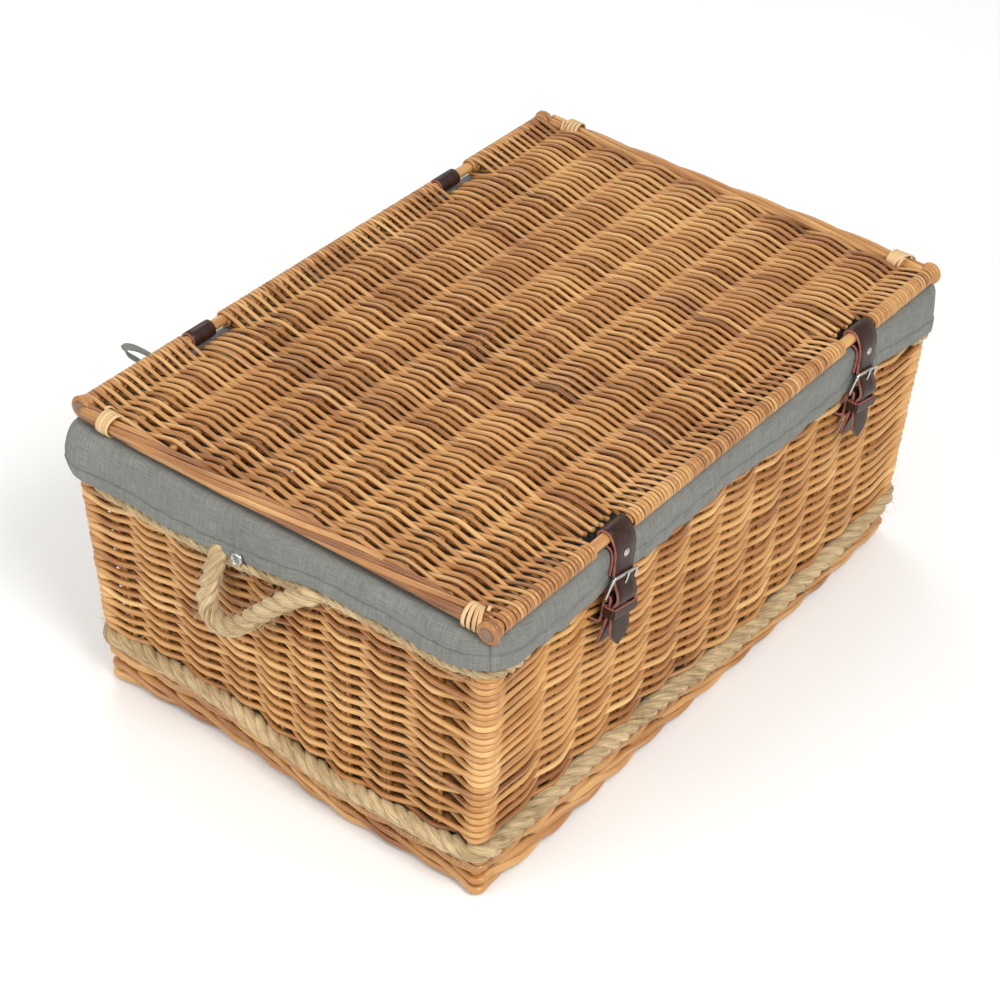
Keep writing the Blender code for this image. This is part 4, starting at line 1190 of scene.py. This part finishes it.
def buckle(x, s):
    """A wire frame on the heel bar, and the prong that hooks round it."""
    heel, tip = np.array(HEEL), np.array(BUCKLE_TIP)
    length = np.linalg.norm(tip - heel)
    ring = [(u, v / length + 0.5) for u, v in rounded_path(0.0159, length / 2, 0.0025)[1:-1]]
    line, _ = resample([on_strap(x, u, *(heel + (tip - heel) * share)) for u, share in ring], 0.0009, closed=True)
    bulge = 1 + 0.18 * np.clip((line[:, 2] - 0.2475) / 0.002, 0, 1)
    wire = Tubes()
    wire.add(line, 0.0012 * bulge, 0.5, side=unit((0.2, -1, 0.1)), closed=True, sides=14)
    wire.build("buckle_wire_" + s, NICKEL, "buckle_" + s, ["buckle_frame_" + s], "nickel")
    hook = wheel(HEEL, 0.0022, 100, 316, 13) + [(0.2206, 0.2315), (0.2215, 0.2360), (0.2228, 0.2420), (0.2239, 0.2470),
                                                (0.2243, 0.2503), (0.2246, 0.2522)]
    line, _ = resample([on_strap(x, 0.0, w, z) for w, z in hook], 0.0008)
    taper = np.interp(np.arange(len(line)) / len(line), (0, 0.5, 0.92, 1), (1, 1.0, 0.85, 0.5))
    prong = Tubes()
    prong.add(line, 0.00105 * taper, 0.5, side=(1, 0, 0), sides=12, end_bulge=0.8)
    prong.build("prong_wire_" + s, NICKEL, "prong_" + s, ["buckle_prong_" + s], "nickel")


def turned(name, profile, place_at, direction, material, body, replaces=(), segments=40):
    """(radius, height) points spun about a direction."""
    w = unit(direction)
    u = unit(np.cross(w, (0.3, 0.2, 1.0)))
    v = np.cross(w, u)
    turn = np.arange(segments) / segments * math.tau
    verts = [place_at + w * profile[0][1]]
    for r, h in profile[1:-1]:
        verts += [place_at + w * h + (u * math.cos(a) + v * math.sin(a)) * r for a in turn]
    verts.append(place_at + w * profile[-1][1])
    rings = len(profile) - 2
    faces = [(0, 1 + j, 1 + (j + 1) % segments) for j in range(segments)]
    for i in range(rings - 1):
        a, b = 1 + i * segments, 1 + (i + 1) * segments
        faces += [(a + j, b + j, b + (j + 1) % segments, a + (j + 1) % segments) for j in range(segments)]
    a = 1 + (rings - 1) * segments
    faces += [(a + (j + 1) % segments, a + j, len(verts) - 1) for j in range(segments)]
    mesh = bpy.data.meshes.new(name)
    mesh.from_pydata([tuple(p) for p in verts], [], faces)
    mesh.shade_smooth()
    mesh.set_sharp_from_angle(angle=math.radians(40))
    return place(bpy.data.objects.new(name, mesh), material, body, replaces)


RIVET = [(0, 0.0018), (0.0009, 0.00175), (0.0017, 0.0015), (0.0023, 0.0011), (0.0026, 0.0007), (0.0030, 0.0008),
         (0.0033, 0.0006), (0.0034, 0.0002), (0.0032, 0.0), (0.0013, 0.0), (0.0013, -0.0046), (0.0024, -0.0048),
         (0.0024, -0.0054), (0, -0.0055)]  # a domed cap with a rolled rim, and the shank behind it
STUD_CAP = [(0, 0.0004), (0.0018, 0.0004), (0.0030, 0.0007), (0.0037, 0.0018), (0.0044, 0.0023), (0.0051, 0.0021),
            (0.0057, 0.0013), (0.0060, 0.0004), (0.0058, -0.0002), (0.0030, -0.0008), (0, -0.0008)]
STUD_WELL = [(0, 0.0012), (0.0012, 0.0011), (0.0024, 0.0009), (0.0032, 0.0008), (0.0032, 0.0), (0, 0.0)]
NAIL = [(0, 0.0009), (0.0008, 0.0008), (0.0014, 0.0004), (0.0016, 0.0), (0.0008, -0.001), (0, -0.001)]


def rivet_head(name, spot, direction, body, node):
    turned(name, RIVET, spot, direction, NICKEL, body, [node])


def hinge_leathers():
    for x, s in zip(HINGE_X, ("left", "right")):
        line = fitted([(0.2010, 0.211), (0.2110, 0.211), (0.2142, 0.2122), (INNER_LEG_W, 0.2152), (0.2153, 0.232)]
                      + round_rod(0.2500) + [(OUTER_LEG_W, 0.2540), (OUTER_LEG_W, 0.2400)])
        band("hinge_leather_" + s, line + (x, 0, 0), STRAP_WIDTH, LEATHER * 0.95, (1, 0, 0), LEATHER_FACE,
             LEATHER_EDGE, "basket", ["hinge_strap_" + s])
        rivet_head("hinge_rivet_head_" + s, (x, OUTER_LEG_W + LEATHER / 2, 0.257), (0, 1, 0), "basket",
                   "hinge_rivet_" + s)


def small_metal():
    """The press studs on the skirt's ends, and a nail in the lid."""
    for side, s in ((-1, "left"), (1, "right")):
        spot, direction = (side * STUD_X, STUD_Y, STUD_Z), (side, 0, 0.10)
        turned("stud_cap_" + s, STUD_CAP, spot, direction, NICKEL, "basket", ["press_stud_" + s])
        turned("stud_well_" + s, STUD_WELL, spot, direction, STUD_METAL, "basket", (), segments=32)
    turned("lid_nail", NAIL, (-0.266, 0.0195, ROD_Z + 0.0066), (0, 0.1, 1), STUD_METAL, "lid")


def carried_over():
    """The CAD nodes that stay, under the lining's fold."""
    for side in ("front", "back", "left", "right"):
        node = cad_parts["border_" + side]
        node.data.materials.clear()
        node.data.materials.append(BORDER_WILLOW)


# ---------------------------------------------------------------- camera, light and floor

def add(name, data):
    """A new object that isn't part of the basket, in the scene."""
    obj = bpy.data.objects.new(name, data)
    bpy.context.scene.collection.objects.link(obj)
    return obj


def camera():
    azimuth, elevation, roll = (math.radians(a) for a in (-53.38, 37.72, 2.06))
    target, distance = Vector((-0.03819, -0.00936, 0.140)), 2.137
    back = Vector((math.sin(azimuth) * math.cos(elevation), -math.cos(azimuth) * math.cos(elevation),
                   math.sin(elevation)))
    right = (-back).cross(Vector((0, 0, 1))).normalized()
    up = right.cross(-back)
    tilted = right * math.cos(roll) + up * math.sin(roll)
    upright = -right * math.sin(roll) + up * math.cos(roll)
    data = bpy.data.cameras.new("camera")
    data.sensor_width, data.lens = 36, 90.65
    data.clip_start, data.clip_end = 0.05, 30
    obj = add("camera", data)
    obj.matrix_world = Matrix.Translation(target + back * distance) @ Matrix(
        (tilted, upright, back)).transposed().to_4x4()
    bpy.context.scene.camera = obj


def lamp(name, place_at, aim, size, power):
    light = bpy.data.lights.new(name, "AREA")
    light.shape, light.size, light.energy = "DISK", size, power
    obj = add(name, light)
    obj.location = place_at
    obj.rotation_euler = (Vector(aim) - Vector(place_at)).to_track_quat("-Z", "Y").to_euler()


def studio():
    """Soft light from the front left, a pale world and a pale floor."""
    bpy.context.scene.view_settings.view_transform = "Standard"
    world = bpy.data.worlds.new("studio")
    bpy.context.scene.world = world
    world.use_nodes = True
    world.node_tree.nodes["Background"].inputs[0].default_value = (1, 0.995, 0.985, 1)
    world.node_tree.nodes["Background"].inputs[1].default_value = 0.75
    lamp("key", (-0.70, -1.45, 1.95), (-0.05, -0.1, 0.15), 1.0, 36)
    lamp("fill", (-2.2, 0.6, 1.3), (0, 0, 0.12), 1.5, 18)
    lamp("rim", (1.2, 1.6, 2.0), (0, 0, 0.2), 1.2, 12)
    floor = bpy.data.meshes.new("floor")
    floor.from_pydata([(-6, -6, -0.0004), (6, -6, -0.0004), (6, 6, -0.0004), (-6, 6, -0.0004)], [], [(0, 1, 2, 3)])
    obj = add("floor", floor)
    n = Nodes("pale_floor")
    mottle = n.noise(n.spot(), 3.0, 2.0, 0.5)
    n.finish(Base_Color=n.mix(mottle, (0.86, 0.86, 0.85), (0.90, 0.90, 0.89)), Roughness=0.8)
    floor.materials.append(n.material)


lid_weave()
end_borders()
corner_bindings()
rod_ends()
siding()
foot_wale()
base_weave()
ropes()
handles()
liner()
liner_tie()
front_straps()
hinge_leathers()
small_metal()
carried_over()
camera()
studio()
